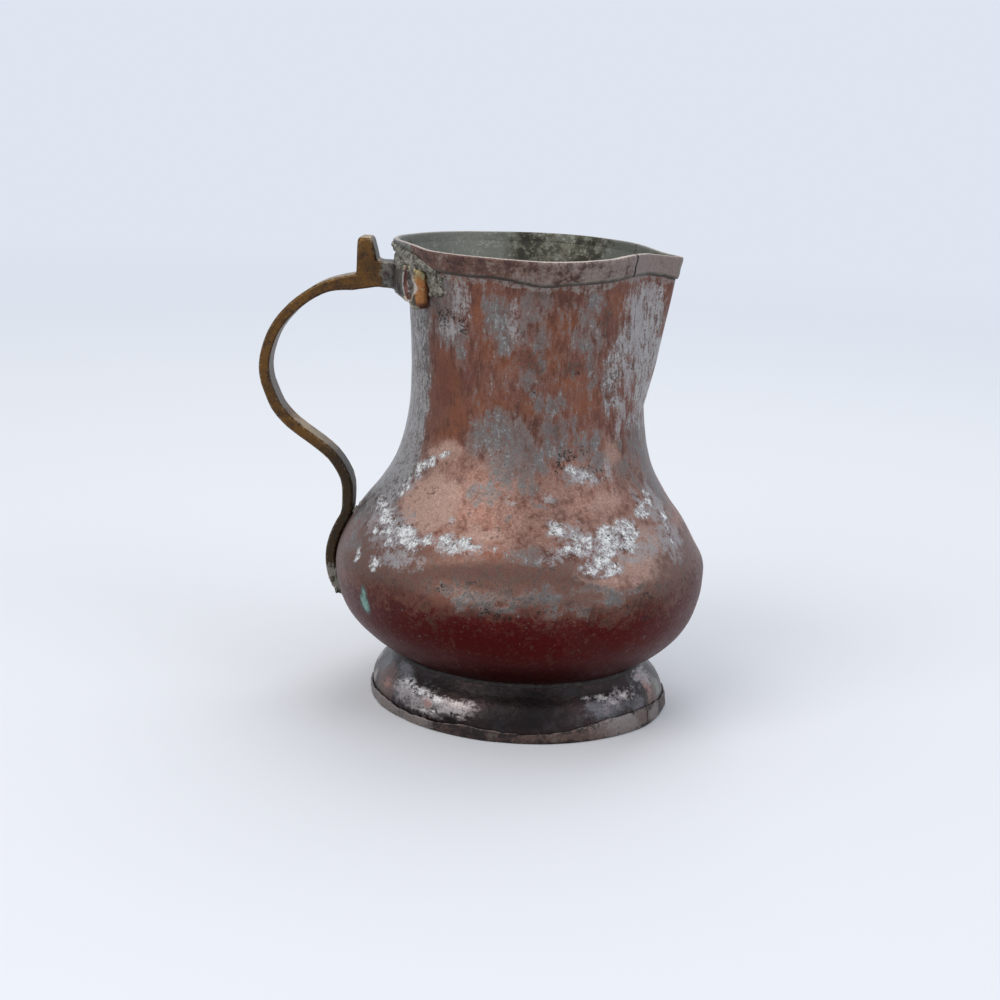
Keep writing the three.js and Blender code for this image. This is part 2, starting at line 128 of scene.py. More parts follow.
def setFloor():
    half = studio["floorHalf"]
    mesh = bpy.data.meshes.new("paleFloor")
    corners = [(-half, -half, 0), (half, -half, 0), (half, half, 0), (-half, half, 0)]
    mesh.from_pydata(corners, [], [(0, 1, 2, 3)])
    floor = bpy.data.objects.new("paleFloor", mesh)
    floor.location.z = -studio["floorDrop"]
    bpy.context.scene.collection.objects.link(floor)
    material = bpy.data.materials.new("paleFloor")
    material.use_nodes = True
    nodes, links = material.node_tree.nodes, material.node_tree.links
    nodes.clear()
    seen = seenDirectly(nodes, links)
    paint = nodes.new("ShaderNodeBsdfDiffuse")
    shown = nodes.new("ShaderNodeMix")  # paler to the eye than to the light that it throws back
    shown.data_type = "RGBA"
    links.new(seen, shown.inputs[0])
    shown.inputs[6].default_value = tone(*studio["bounceTone"])
    shown.inputs[7].default_value = tone(*studio["floorTone"])
    links.new(shown.outputs[2], paint.inputs["Color"])
    far = nodes.new("ShaderNodeEmission")
    far.inputs["Color"].default_value = tone(*studio["farTone"])
    place = nodes.new("ShaderNodeTexCoord")
    reach = nodes.new("ShaderNodeVectorMath")
    reach.operation = "LENGTH"
    links.new(place.outputs["Object"], reach.inputs[0])
    fade = nodes.new("ShaderNodeMapRange")
    fade.interpolation_type = "SMOOTHSTEP"
    fade.inputs["From Min"].default_value = studio["fadeStart"]
    fade.inputs["From Max"].default_value = studio["fadeEnd"]
    links.new(reach.outputs["Value"], fade.inputs["Value"])
    share = nodes.new("ShaderNodeMath")
    share.operation = "MULTIPLY"
    links.new(fade.outputs[0], share.inputs[0])
    links.new(seen, share.inputs[1])
    either = nodes.new("ShaderNodeMixShader")
    links.new(share.outputs[0], either.inputs[0])
    links.new(paint.outputs[0], either.inputs[1])
    links.new(far.outputs[0], either.inputs[2])
    links.new(either.outputs[0], nodes.new("ShaderNodeOutputMaterial").inputs[0])
    mesh.materials.append(material)


def setLamps():
    for number, (where, faces, width, watts, colour) in enumerate(studio["lamps"]):
        lamp = bpy.data.lights.new(f"softLamp{number}", "AREA")
        lamp.size = width
        lamp.energy = watts
        lamp.color = tone(*colour)[:3]
        stand = bpy.data.objects.new(f"softLamp{number}", lamp)
        stand.location = where
        stand.rotation_euler = (Vector(faces) - Vector(where)).to_track_quat("-Z", "Y").to_euler()
        bpy.context.scene.collection.objects.link(stand)


bpy.context.scene.view_settings.view_transform = "Standard"
setCamera()
setWorld()
setFloor()
setLamps()
print("camera, floor and light set")

# Shared tools: smooth randomness, curves and meshes

# any uneven numbers do for these
scatter = dict(steps=np.array([127.1, 311.7, 74.7]), seedStep=37.31, scale=43758.5453)
meshing = dict(mergeWithin=0.004, sharpFrom=38)  # millimetres and degrees


def cellValue(cell, seed):  # the same random share from 0 to 1 each time for a cell and seed
    mixed = np.sin(cell @ scatter["steps"] + seed * scatter["seedStep"]) * scatter["scale"]
    return mixed - np.floor(mixed)


def smoothed(part):
    return part * part * (3 - 2 * part)


def roughly(points, size, seed):  # random from -1 to 1, smooth over about size
    scaled = np.asarray(points, float) / size
    low = np.floor(scaled)
    part = smoothed(scaled - low)
    total = 0
    for corner in np.ndindex(2, 2, 2):
        weight = np.prod(np.where(np.array(corner, bool), part, 1 - part), axis=-1)
        total = total + weight * cellValue(low + corner, seed)
    return 2 * total - 1


def waves(points, layers):  # adds up layers of (height, size, seed)
    return sum(height * roughly(points, size, seed) for height, size, seed in layers)


def eased(value, low, high):  # 0 below low, 1 above high, smooth between
    return smoothed(np.clip((np.asarray(value, float) - low) / (high - low), 0, 1))


def wrapped(degrees):  # from -180 to 180
    return (np.asarray(degrees) + 180) % 360 - 180


def between(start, end, shares):  # points at shares of the way up and out from start to end
    return [(start[0] + (end[0] - start[0]) * up, start[1] + (end[1] - start[1]) * out) for up, out in shares]


def curveThrough(stations):  # a smooth radius for each height
    heights, radii = np.array(stations, float).T
    count = len(heights)
    before = np.maximum(np.arange(count) - 1, 0)
    after = np.minimum(np.arange(count) + 1, count - 1)
    slopes = (radii[after] - radii[before]) / (heights[after] - heights[before])

    def radiusAt(z):
        z = np.asarray(z, float)
        i = np.clip(np.searchsorted(heights, z) - 1, 0, count - 2)
        span = heights[i + 1] - heights[i]
        t = (z - heights[i]) / span
        ease = smoothed(t)
        leave = t * (1 - t) ** 2 * slopes[i] * span
        arrive = t * t * (t - 1) * slopes[i + 1] * span
        return radii[i] + (radii[i + 1] - radii[i]) * ease + leave + arrive

    return radiusAt


def allRound(pairs, softness, step=0.5, margin=40):  # a smooth value all round through (degrees, value) pairs
    places, values = np.array(sorted(pairs), float).T
    fine = np.arange(-180, 180, step)
    sharp = np.interp(fine, places, values, period=360)
    weights = np.exp(-((np.arange(-margin, margin + 1) * step / softness) ** 2))
    overlapped = np.concatenate([sharp[-margin:], sharp, sharp[:margin]])
    soft = np.convolve(overlapped, weights / weights.sum(), "valid")
    return lambda azimuth: np.interp(azimuth, fine, soft, period=360)


def ringSpots(radius, angles, z=0):  # places on a ring, to take noise from
    return np.stack([radius * np.cos(angles), radius * np.sin(angles), z + 0 * angles], -1)


def insideOf(outline, distance):  # the outline moved inwards, square to its run
    outline = np.array(outline, float)
    index = np.arange(len(outline))
    run = outline[np.minimum(index + 1, len(outline) - 1)] - outline[np.maximum(index - 1, 0)]
    run /= np.linalg.norm(run, axis=1)[:, None]
    moved = outline + distance * np.stack([-run[:, 1], run[:, 0]], 1)
    moved[outline[:, 0] == 0, 0] = 0
    return moved


def makePiece(name, points, faces, slots=None):  # a closed mesh from points in millimetres
    mesh = bpy.data.meshes.new(name)
    mesh.from_pydata((np.asarray(points) * mm).tolist(), [], faces)
    if slots is not None:
        mesh.polygons.foreach_set("material_index", slots)
    shape = bmesh.new()
    shape.from_mesh(mesh)
    bmesh.ops.remove_doubles(shape, verts=shape.verts, dist=meshing["mergeWithin"] * mm)
    bmesh.ops.recalc_face_normals(shape, faces=shape.faces)
    if shape.calc_volume(signed=True) < 0:
        bmesh.ops.reverse_faces(shape, faces=shape.faces)
    shape.to_mesh(mesh)
    shape.free()
    mesh.polygons.foreach_set("use_smooth", [True] * len(mesh.polygons))
    mesh.set_sharp_from_angle(angle=math.radians(meshing["sharpFrom"]))
    piece = bpy.data.objects.new(name, mesh)
    bpy.context.scene.collection.objects.link(piece)
    return piece


def gridFaces(rows, cols, ringed):  # rows close into a loop, with a cap at both ends unless it is a ring
    index = np.arange(rows * cols).reshape(rows, cols)
    down = np.vstack([index, index[:1]])
    across = np.hstack([down, down[:, :1]]) if ringed else down
    quads = np.stack([across[:-1, :-1], across[:-1, 1:], across[1:, 1:], across[1:, :-1]], -1)
    faces = quads.reshape(-1, 4).tolist()
    if not ringed:
        faces += [index[:, 0].tolist(), index[::-1, -1].tolist()]
    return faces


def rowsOf(mesh, name):  # "co" or "normal" of each vertex
    flat = np.empty(len(mesh.vertices) * 3)
    mesh.vertices.foreach_get(name, flat)
    return flat.reshape(-1, 3)


def placesOf(piece):  # vertex places in millimetres, with x measured from the body's axis
    return rowsOf(piece.data, "co") / mm - (axisX, 0, 0)


def putPlaces(piece, places):
    piece.data.vertices.foreach_set("co", ((places + (axisX, 0, 0)) * mm).ravel())
    piece.data.update()


def paintField(piece, name, values):  # one number for each vertex, which the finishes read
    layer = piece.data.attributes.new(name, "FLOAT", "POINT")
    layer.data.foreach_set("value", np.asarray(values, float))


def dress(piece, *materials):  # one material for each slot number that the faces already hold
    slots = np.empty(len(piece.data.polygons), dtype=np.int32)
    piece.data.polygons.foreach_get("material_index", slots)
    piece.data.materials.clear()
    for material in materials:
        piece.data.materials.append(material)
    piece.data.polygons.foreach_set("material_index", np.minimum(slots, len(materials) - 1))


def seat(piece, node):
    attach(piece, "root")
    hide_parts(node)


# Body form

form = dict(
    wall=1.1,
    play=0.3,
    bowlBottom=12,
    bowlJoint=(24, 60),
    belly=(72, 94.6),
    neck=(163, 58.9),
    mouth=(235, 64.6),
    bowlShares=[(0.21, 0.47), (0.46, 0.81), (0.75, 0.97)],
    shoulderShares=[(0.13, 0.09), (0.285, 0.3), (0.44, 0.59), (0.59, 0.81), (0.77, 0.94)],
    mouthShares=[(0.56, 0), (0.79, 0.28)],
    footShift=3,  # the foot stands this far towards the spout, and the mouth leans back
    footShiftCurve=1.5,
    mouthLean=5.8,
    leanCurve=1.3,
    leanStart=150,
    spoutStart=157,
    spoutTip=78.5,
    spoutLowHalf=0.25,  # these three in radians round the body
    spoutTopHalf=0.115,
    spoutNose=0.065,
    seam=62,
    lap=6,
    seamGap=0.04,
    innerSeamGap=1.2,
    wallTop=233.6,
    knuckleShare=0.55,
    knuckleLeast=25,
    columns=440,
    crowding=0.25,  # how far the columns gather at the spout
    rows=dict(upperOuter=158, upperInner=62, bottom=14, lowerOuter=52, lowerInner=26, lap=5),
)
stations = [form["bowlJoint"]]
stations += between(form["bowlJoint"], form["belly"], form["bowlShares"]) + [form["belly"]]
stations += between(form["belly"], form["neck"], form["shoulderShares"]) + [form["neck"]]
stations += between(form["neck"], form["mouth"], form["mouthShares"]) + [form["mouth"]]
bodyRadius = curveThrough(stations)


def shiftAt(z):  # how far the axis lies towards the spout at a height
    z = np.asarray(z, float)
    bellyHeight = form["belly"][0]
    foot = form["footShift"] * (np.clip(bellyHeight - z, 0, None) / bellyHeight) ** form["footShiftCurve"]
    rise = np.clip(z - form["leanStart"], 0, None) / (form["mouth"][0] - form["leanStart"])
    return foot - form["mouthLean"] * rise ** form["leanCurve"]


def spoutOut(z, angle):  # how far the spout is drawn out of the round neck
    up = np.clip((z - form["spoutStart"]) / (form["mouth"][0] - form["spoutStart"]), 0, None)
    ridge = form["neck"][1] + (form["spoutTip"] - form["neck"][1]) * up
    reach = np.where(up > 0, np.clip(ridge - bodyRadius(z), 0, None), 0)
    half = form["spoutLowHalf"] + (form["spoutTopHalf"] - form["spoutLowHalf"]) * up
    turned = (angle + math.pi) % fullTurn - math.pi
    along = np.hypot(turned, form["spoutNose"]) - form["spoutNose"]
    return reach * np.exp(-along / half)


def spun(radii, angles, z):  # places round the leaning axis
    return np.stack([radii * np.cos(angles) + shiftAt(z) + axisX, radii * np.sin(angles), z + 0 * angles], -1)


# Dents and waves left by raising and use. Heights and places read round the body in degrees, 0 at the spout
unevenness = dict(
    waves=[(0.55, 36, 1), (0.26, 15, 2), (0.07, 6, 3)],  # height, size and seed, down to the hammer's marks
    ridge=1.3,
    ridgeHalf=6.5,
    ridgeSoft=8,
    ridgeLine=[
        (-140, 78), (-125, 83), (-115, 90), (-105, 93), (-85, 96), (-65, 92), (-50, 82), (-40, 78), (90, 80),
    ],
    dents=[  # azimuth, height, half width in degrees, half height, depth
        (-88, 82, 30, 9, 2.4),
        (-52, 112, 14, 9, 0.9),
        (-122, 108, 12, 10, 0.6),
        (-100, 190, 12, 14, 0.6),
        (-60, 176, 10, 16, 0.5),
        (60, 104, 20, 14, 1.4),
        (118, 86, 22, 10, 1.2),
        (95, 186, 16, 20, 0.8),
    ],
    rimRise=[
        (-152, 1.6), (-141, 1.2), (-132, 0), (-120, -0.1), (-100, -0.1), (-92, -0.3), (-85, -0.4),
        (-79, -0.6), (-71, -0.5), (-61, -0.2), (-53, 0.3), (-45, 0.6), (-35, 1.9), (-28.6, 2.2), (-19.5, 2),
        (-8.5, 0.3), (0, -1.2), (7, -0.8), (16.6, 0.3), (36, 0.8), (52, 0.7), (66, 0.8), (90, 0.4),
        (113, -0.1), (140, 0), (158, 0), (180, 0.6),
    ],
    rimRiseFrom=205,
    rimRiseTo=233,
    rimRiseSoft=3,
    calm=0.85,  # how much flatter the sheet is where the handle sits, at the saddle and at the tail
    saddleSides=(40, 60),
    saddleLow=(190, 205),
    tailSides=(12, 24),
    tailLow=(40, 52),
    tailTop=(98, 112),
)
ridgeHeight = allRound(unevenness["ridgeLine"], unevenness["ridgeSoft"])
rimRise = allRound(unevenness["rimRise"], unevenness["rimRiseSoft"])


def rimLift(azimuth, z):  # how far the uneven mouth lifts what lies near it
    return rimRise(azimuth) * eased(z, unevenness["rimRiseFrom"], unevenness["rimRiseTo"])


def dented(out, azimuth, z, dents, fade=1.3):
    for az, height, halfWidth, halfHeight, depth in dents:
        away = (wrapped(azimuth - az) / halfWidth) ** 2 + ((z - height) / halfHeight) ** 2
        out = out - depth * np.exp(-away * fade)
    return out


def dentAt(angle, z):  # how far the sheet stands out (+) or in (-)
    u = unevenness
    azimuth = wrapped(np.degrees(angle))
    radius = bodyRadius(np.clip(z, form["bowlJoint"][0], form["mouth"][0]))
    line = (z - ridgeHeight(azimuth)) / u["ridgeHalf"]
    out = waves(ringSpots(radius, angle, z), u["waves"]) + u["ridge"] * np.exp(-(line**2))
    out = dented(out, azimuth, z, u["dents"])
    behind = np.abs(wrapped(azimuth - 180))
    atSaddle = (1 - eased(behind, *u["saddleSides"])) * eased(z, *u["saddleLow"])
    atTail = (1 - eased(behind, *u["tailSides"])) * eased(z, *u["tailLow"]) * (1 - eased(z, *u["tailTop"]))
    return out * (1 - u["calm"] * np.maximum(atSaddle, atTail))


def bent(radii, heights, angles):  # rows of (radius, height) spun and bent to the body
    z, angle = np.broadcast_arrays(np.asarray(heights, float), angles)
    points = spun(np.where(radii > 0, radii + (spoutOut(z, angle) + dentAt(angle, z)), 0), angle, z)
    points[..., 2] += rimLift(wrapped(np.degrees(angle)), z)
    return points


def aroundAngles(count, start=0, end=fullTurn):
    even = start + (end - start) * np.arange(count) / (count if end - start >= fullTurn else count - 1)
    return even - form["crowding"] * np.sin(even)


def bowlBottom():  # from the middle of the bowl out to its joint with the foot
    jointHeight, jointRadius = form["bowlJoint"]
    slope = bodyRadius(jointHeight + 1) - jointRadius
    knuckle = jointRadius - (jointHeight - form["bowlBottom"]) * slope * form["knuckleShare"]
    t = np.linspace(0, 1, form["rows"]["bottom"] + 1)[:-1, None]
    middle, turn = (0, form["bowlBottom"]), (max(knuckle, form["knuckleLeast"]), form["bowlBottom"])
    return (1 - t) ** 2 * middle + 2 * t * (1 - t) * turn + t * t * (jointRadius, jointHeight)


def wallPoints(low, high, rows):
    z = np.linspace(low, high, rows)
    return np.stack([bodyRadius(z), z], 1)


def shell(name, outer, inner):  # the outside takes slot 0 and the inside slot 1
    rows = np.vstack([outer, inner[::-1]])
    angles = aroundAngles(form["columns"])
    points = bent(rows[:, :1], rows[:, 1:], angles[None, :])
    insideRow = np.arange(len(rows)) >= len(outer)
    slots = np.repeat(insideRow.astype(int), len(angles))
    return makePiece(name, points.reshape(-1, 3), gridFaces(len(rows), len(angles), True), slots)


def upperShell():
    low, top = form["seam"] + form["seamGap"], form["wallTop"]
    outer = wallPoints(low, top, form["rows"]["upperOuter"])
    inner = insideOf(wallPoints(low, top, form["rows"]["upperInner"]), form["wall"])
    inner[0, 1], inner[-1, 1] = low, top
    return shell("copperUpperBody", outer, inner)


def lowerShell():
    seam, wall, rows = form["seam"], form["wall"], form["rows"]
    bottom, low = bowlBottom(), form["bowlJoint"][0]
    outer = np.vstack([bottom, wallPoints(low, seam, rows["lowerOuter"])])
    lap = wallPoints(seam, seam + form["lap"], rows["lap"]) - (wall + form["play"], 0)
    inner = np.vstack([bottom, wallPoints(low, seam - form["innerSeamGap"], rows["lowerInner"])])
    outside, inside = np.vstack([outer, lap]), np.vstack([insideOf(inner, wall), lap - (wall, 0)])
    return shell("copperLowerBowl", outside, inside)


upperBody = upperShell()
lowerBowl = lowerShell()
print("body shells raised:", len(upperBody.data.polygons), "and", len(lowerBowl.data.polygons), "faces")

# Strips folded over the mouth's edge

strips = dict(
    sheet=1.1,
    jointDegrees=29.8,
    jointRadius=66,
    jointOpening=0.55,
    innerReach=5.6,
    innerStep=0.7,
    corner=0.75,
    outerCorner=1.3,
    cornerRows=4,
    crown=0.04,
    foldDepth=1.6,  # how far the wall's edge goes up into the fold
    faceSwell=0.14,
    faceSwells=9,
    faceRows=9,
    rimColumns=400,
    lipColumns=96,
    waves=[(0.4, 11, 21), (0.12, 4, 22)],
    waveRadius=70,
    bottomSoft=2.5,
    bottomLine=[
        (-180, 224.6), (-124, 225.6), (-111, 225.4), (-99, 226), (-92, 225.1), (-86, 224), (-77, 223),
        (-66, 224.1), (-50, 224.5), (-32, 224.7), (-16, 225.9), (-6.5, 225.3), (-0.5, 223.5), (12, 225),
        (30, 224.4), (60, 225.2), (90, 224), (125, 225.3), (150, 224.4),
    ],
)
stripBottom = allRound(strips["bottomLine"], strips["bottomSoft"])


def foldedSection():  # out from the wall's outside, up, 1 if up is a height and 0 if a share, slot
    top, wall, play = form["mouth"][0], form["wall"], form["play"]
    outside, inside = play + strips["sheet"], wall + strips["innerStep"]
    corner, outerCorner, crown = strips["corner"], strips["outerCorner"], top + strips["crown"]
    turned, foldTop = strips["cornerRows"], top - strips["foldDepth"]
    section = [(play + 0.1, 0.0, 0, 0), (outside - 0.25, -0.03, 0, 0), (outside, 0.05, 0, 0)]
    for share in np.linspace(0.15, 0.97, strips["faceRows"]):
        section.append((outside + strips["faceSwell"] * math.sin(share * strips["faceSwells"]), share, 0, 0))
    for a in np.linspace(0.2, math.pi / 2, turned):
        over = outerCorner * math.sin(a) - outerCorner
        section.append((outside - outerCorner + outerCorner * math.cos(a), top + over, 1, 0))
    section += [(-0.2, crown, 1, 0), (-0.7, crown, 1, 0)]
    for a in np.linspace(math.pi / 2, math.pi - 0.2, turned):
        section.append((-inside + corner + corner * math.cos(a), top - corner + corner * math.sin(a), 1, 1))
    section += [(-inside, top - 1.0, 1, 1), (-wall + 0.12, top - strips["innerReach"], 1, 1)]
    section += [(-wall + 0.2, foldTop, 1, 1), (play - 0.1, foldTop, 1, 1), (play + 0.05, 0.6, 0, 1)]
    return section


def foldedStrip(name, start, end, count):
    angles = aroundAngles(count, start, end)
    crest = form["mouth"][0] - strips["outerCorner"]
    low = stripBottom(wrapped(np.degrees(angles)))
    rows, slots = [], []
    for out, up, fixed, slot in foldedSection():
        z = np.full(count, up) if fixed else low + (crest - low) * up
        wavy = waves(ringSpots(strips["waveRadius"], angles, z), strips["waves"])
        rows.append(bent(bodyRadius(z) + out + wavy * (out > 0.2), z, angles))
        slots += [slot] * (count - 1)
    points = np.array(rows)
    return makePiece(name, points.reshape(-1, 3), gridFaces(len(rows), count, False), slots + [0, 0])


halfOpening = strips["jointOpening"] / 2 / strips["jointRadius"]
joint = math.radians(strips["jointDegrees"])
evenJoint = joint
for _ in range(20):  # the even angle whose crowded angle is the joint's
    evenJoint = joint + form["crowding"] * math.sin(evenJoint)
rimEnds = (evenJoint + halfOpening, fullTurn - evenJoint - halfOpening)
rimStrip = foldedStrip("mouthStrip", *rimEnds, strips["rimColumns"])
lipStrip = foldedStrip("lipStrip", -evenJoint + halfOpening, evenJoint - halfOpening, strips["lipColumns"])
print("mouth strips folded")

# Foot: a flared collar, the strip folded under its edge, and the solder in the corner under the belly

footForm = dict(
    radius=75.7,
    top=26,
    sheet=1.2,
    shares=[(0.27, 0.03), (0.44, 0.12), (0.62, 0.33), (0.81, 0.73)],
    rows=26,
    columns=420,
    waves=[(0.7, 26, 31), (0.3, 10, 32)],
    waveRadius=70,
    dents=[
        (-150, 14, 14, 9, 1.2), (-98, 16, 10, 8, 0.7), (-60, 12, 12, 8, 0.9), (-36, 14, 6, 7, 0.7),
        (70, 13, 16, 9, 1),
    ],
    calm=0.8,  # how much flatter it is near its top
    calmFrom=20,
    hemTop=[
        (-180, 5), (-137, 4.8), (-121, 4.4), (-105, 6.3), (-95, 5.4), (-82, 4.8), (-68, 5.6), (-58, 7.9),
        (-45, 9.5), (-29.5, 10.1), (-15, 8.7), (0, 7.2), (40, 5), (90, 6.2), (140, 4.4),
    ],
    hemInner=3.4,
    hemSheet=1.1,
    hemJointDegrees=-26.4,
    hemJointOpening=0.8,
    hemColumns=520,
    hemLeast=3,
    hemTopSoft=3,
    hemCorner=1,
    ragged=0.7,
    raggedLayers=[(1, 7, 41), (0.6, 2.6, 42)],
    foldWaves=[(0.22, 6, 43)],
    foldWaveRadius=75,
)
beadForm = dict(
    columns=300,
    rows=7,
    low=1.2,
    high=0.9,
    swell=0.35,
    waveRadius=62,
    waves=[(0.5, 9, 51), (0.35, 3, 52)],
)
footTop = (footForm["top"], float(bodyRadius(footForm["top"])) + form["play"] + footForm["sheet"])
footBottom = (0, footForm["radius"])
footRadius = curveThrough([footBottom] + between(footBottom, footTop, footForm["shares"]) + [footTop])
hemTop = allRound(footForm["hemTop"], footForm["hemTopSoft"])


def bentFoot(radii, heights, angles):
    z, angle = np.broadcast_arrays(np.asarray(heights, float), angles)
    out = waves(ringSpots(footForm["waveRadius"], angle, z), footForm["waves"])
    out = dented(out, wrapped(np.degrees(angle)), z, footForm["dents"])
    out = out * (1 - footForm["calm"] * eased(z, footForm["calmFrom"], footForm["top"]))
    return spun(radii + out, angle, z)


def footCollar():
    count, columns = footForm["rows"], footForm["columns"]
    z = np.linspace(footForm["hemSheet"] + form["play"], footForm["top"], count)
    outer = np.stack([footRadius(z), z], 1)
    rows = np.vstack([outer, (outer - (footForm["sheet"], 0))[::-1]])
    angles = fullTurn * np.arange(columns) / columns
    points = bentFoot(rows[:, :1], rows[:, 1:], angles[None, :])
    slots = np.repeat((np.arange(len(rows)) >= count).astype(int), columns)
    return makePiece("footCollar", points.reshape(-1, 3), gridFaces(len(rows), columns, True), slots)


def footEdgeFold():
    count, opening = footForm["hemColumns"], footForm["hemJointOpening"]
    sheet, corner, play = footForm["hemSheet"], footForm["hemCorner"], form["play"]
    start = math.radians(footForm["hemJointDegrees"]) + opening / 2 / footForm["radius"]
    angles = start + (fullTurn - opening / footForm["radius"]) * np.arange(count) / (count - 1)
    spots = ringSpots(footForm["foldWaveRadius"], angles)
    top = hemTop(wrapped(np.degrees(angles))) + footForm["ragged"] * waves(spots, footForm["raggedLayers"])
    top = np.clip(top, footForm["hemLeast"], None)
    outside, inside = play + sheet, footForm["sheet"] + play + sheet
    rows = []

    def addRow(out, z):
        z = np.asarray(z, float) + 0 * angles
        places = ringSpots(footForm["foldWaveRadius"], angles, z)
        wavy = waves(places, footForm["foldWaves"]) if out > 0.5 else 0
        rows.append(bentFoot(footRadius(np.clip(z, 0, None)) + out + wavy, z, angles))

    addRow(play + 0.1, top - 0.1)
    addRow(outside * 0.72, top)
    addRow(outside, top - 0.45)
    for share in (0.8, 0.6, 0.4, 0.2):
        addRow(outside, corner + (top - 1.4) * share)
    for a in np.linspace(0.15, 1.45, 5):
        addRow(outside - corner + corner * math.cos(a), corner - corner * math.sin(a))
    addRow(-inside + 0.7, 0)
    addRow(-inside + 0.15, 0.25)
    addRow(-inside, 0.9)
    for out in (-inside, -inside + sheet):
        addRow(out, footForm["hemInner"])
    for out in (-inside + sheet, play):
        addRow(out, sheet)
    points = np.array(rows)
    return makePiece("footEdgeFold", points.reshape(-1, 3), gridFaces(len(rows), count, False))


def footBead():  # tin solder run into the corner between foot and bowl
    top, columns = footForm["top"], beadForm["columns"]
    low, high = top - beadForm["low"], top + beadForm["high"]
    angles = fullTurn * np.arange(columns) / columns
    lump = waves(ringSpots(beadForm["waveRadius"], angles), beadForm["waves"])
    onFoot, onBowl = footRadius(low) - 0.1, bodyRadius(high) + 0.1
    rows = []
    for t in np.linspace(0, 1, beadForm["rows"]):
        swell = (beadForm["swell"] + 0.5 * lump) * math.sin(math.pi * t)
        out, z = onFoot + (onBowl - onFoot) * t + swell, low + (high - low) * t - 0.3 * swell
        rows.append(spun(out, angles, z))
    rows.append(spun(float(footRadius(top)) - 0.4, angles, top))
    return makePiece("footSolderBead", np.array(rows).reshape(-1, 3), gridFaces(len(rows), columns, True))


collar = footCollar()
edgeFold = footEdgeFold()
bead = footBead()
print("foot built")

# Cast handle, softened from its solid, and the solder that holds it


def softened(source, name, voxel, rounds):  # a node's name, or a mesh of overlapping lumps
    mesh = bpy.data.meshes.new_from_object(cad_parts[source]) if isinstance(source, str) else source
    mesh.name = name
    piece = bpy.data.objects.new(name, mesh)
    bpy.context.scene.collection.objects.link(piece)
    remesh = piece.modifiers.new("remesh", "REMESH")
    remesh.mode = "VOXEL"
    remesh.voxel_size = voxel * mm
    smooth = piece.modifiers.new("smooth", "SMOOTH")
    smooth.iterations = rounds
    graph = bpy.context.evaluated_depsgraph_get()
    done = bpy.data.meshes.new_from_object(piece.evaluated_get(graph))
    piece.modifiers.clear()
    piece.data = done
    done.name = name
    done.polygons.foreach_set("use_smooth", [True] * len(done.polygons))
    return piece


def neighbourMean(mesh, values):  # each vertex takes the mean of those that it shares an edge with
    edges = np.empty(len(mesh.edges) * 2, dtype=np.int64)
    mesh.edges.foreach_get("vertices", edges)
    a, b = edges.reshape(-1, 2).T
    count = len(mesh.vertices)
    share = np.maximum(np.bincount(a, minlength=count) + np.bincount(b, minlength=count), 1)
    columns = values.reshape(count, -1)
    sums = [np.bincount(a, c[b], count) + np.bincount(b, c[a], count) for c in columns.T]
    return (np.stack(sums, 1) / share[:, None]).reshape(values.shape)


def pushOut(piece, distance):  # moves each vertex along its normal, in millimetres
    mesh = piece.data
    moved = rowsOf(mesh, "co") + rowsOf(mesh, "normal") * np.asarray(distance)[:, None] * mm
    mesh.vertices.foreach_set("co", moved.ravel())
    mesh.update()


def edgeBulge(piece, reach, strength):  # above 0.5 on edges that hands rub, below in hollows
    mesh = piece.data
    places = placesOf(piece)
    far = places
    for _ in range(reach):
        far = neighbourMean(mesh, far)
    bulge = ((places - far) * rowsOf(mesh, "normal")).sum(1)
    for _ in range(2):
        bulge = neighbourMean(mesh, bulge)
    return np.clip(0.5 + bulge * strength, 0, 1)


handleForm = dict(
    voxel=0.5,
    rounds=6,
    waves=[(0.14, 18, 61), (0.05, 4, 62)],
    bulgeReach=7,
    bulgeStrength=1.1,
    saddleRadius=58.9,
    saddleMiddle=213.65,
    saddleLow=204.5,
    saddleTop=222.8,
    thickness=6.5,
    wingDegrees=(15, 50),
    wingHeights=(200, 226),
    solidPocket=(26.4, 213.65),  # the middle of the solid's almond, in degrees and height
    solidEndDegrees=40.1,  # where the solid's wings end
    endDegrees=42,
    endRound=3.9,
    endSwell=0.8,
    wingLift=3.2,
    lowEdgeLift=2.5,
    pocketDegrees=33,
    pocketMiddle=216.8,
    pocketLean=0.19,
    pocketHalfWidth=6.6,
    pocketHalfHeight=9.6,
    pocketDepth=2.3,
    pocketRim=0.35,
    postFootWidth=(11, 9.4),  # the solid's, and the one wanted
    postTopWidth=(6.6, 8),
    postRise=12,
    postRound=2.6,
)
solderForm = dict(voxel=0.5, rounds=5, lumps=0.35, lumpSize=7, pores=0.3, poreSize=2.4)


def saddlePlaces(places):  # radius, degrees round from the handle's middle, side, and height
    x = places[:, 0] - shiftAt(handleForm["saddleMiddle"])
    angle = np.degrees(np.arctan2(places[:, 1], -x))
    return np.hypot(x, places[:, 1]), np.abs(angle), np.where(angle < 0, -1, 1), places[:, 2]


def pocketShare(degrees, z):  # 0 at the middle of the almond, 1 on its edge
    perDegree = math.radians(1) * (handleForm["saddleRadius"] + handleForm["thickness"])
    up = np.clip(np.abs(z - handleForm["pocketMiddle"]) / handleForm["pocketHalfHeight"], 0, 1.6)
    halfWidth = handleForm["pocketHalfWidth"] * np.clip(1 - up**2, 0.04, 1)
    lean = handleForm["pocketLean"] * (handleForm["pocketMiddle"] - z)
    across = np.abs(degrees - lean - handleForm["pocketDegrees"]) * perDegree
    return np.where(up < 1, across / halfWidth, 9)


def lowEdgeRise(degrees):  # how far the saddle's lower edge is lifted where it runs towards its end
    return handleForm["lowEdgeLift"] * eased(degrees, 8, 24) * (1 - eased(degrees, 32, 40))


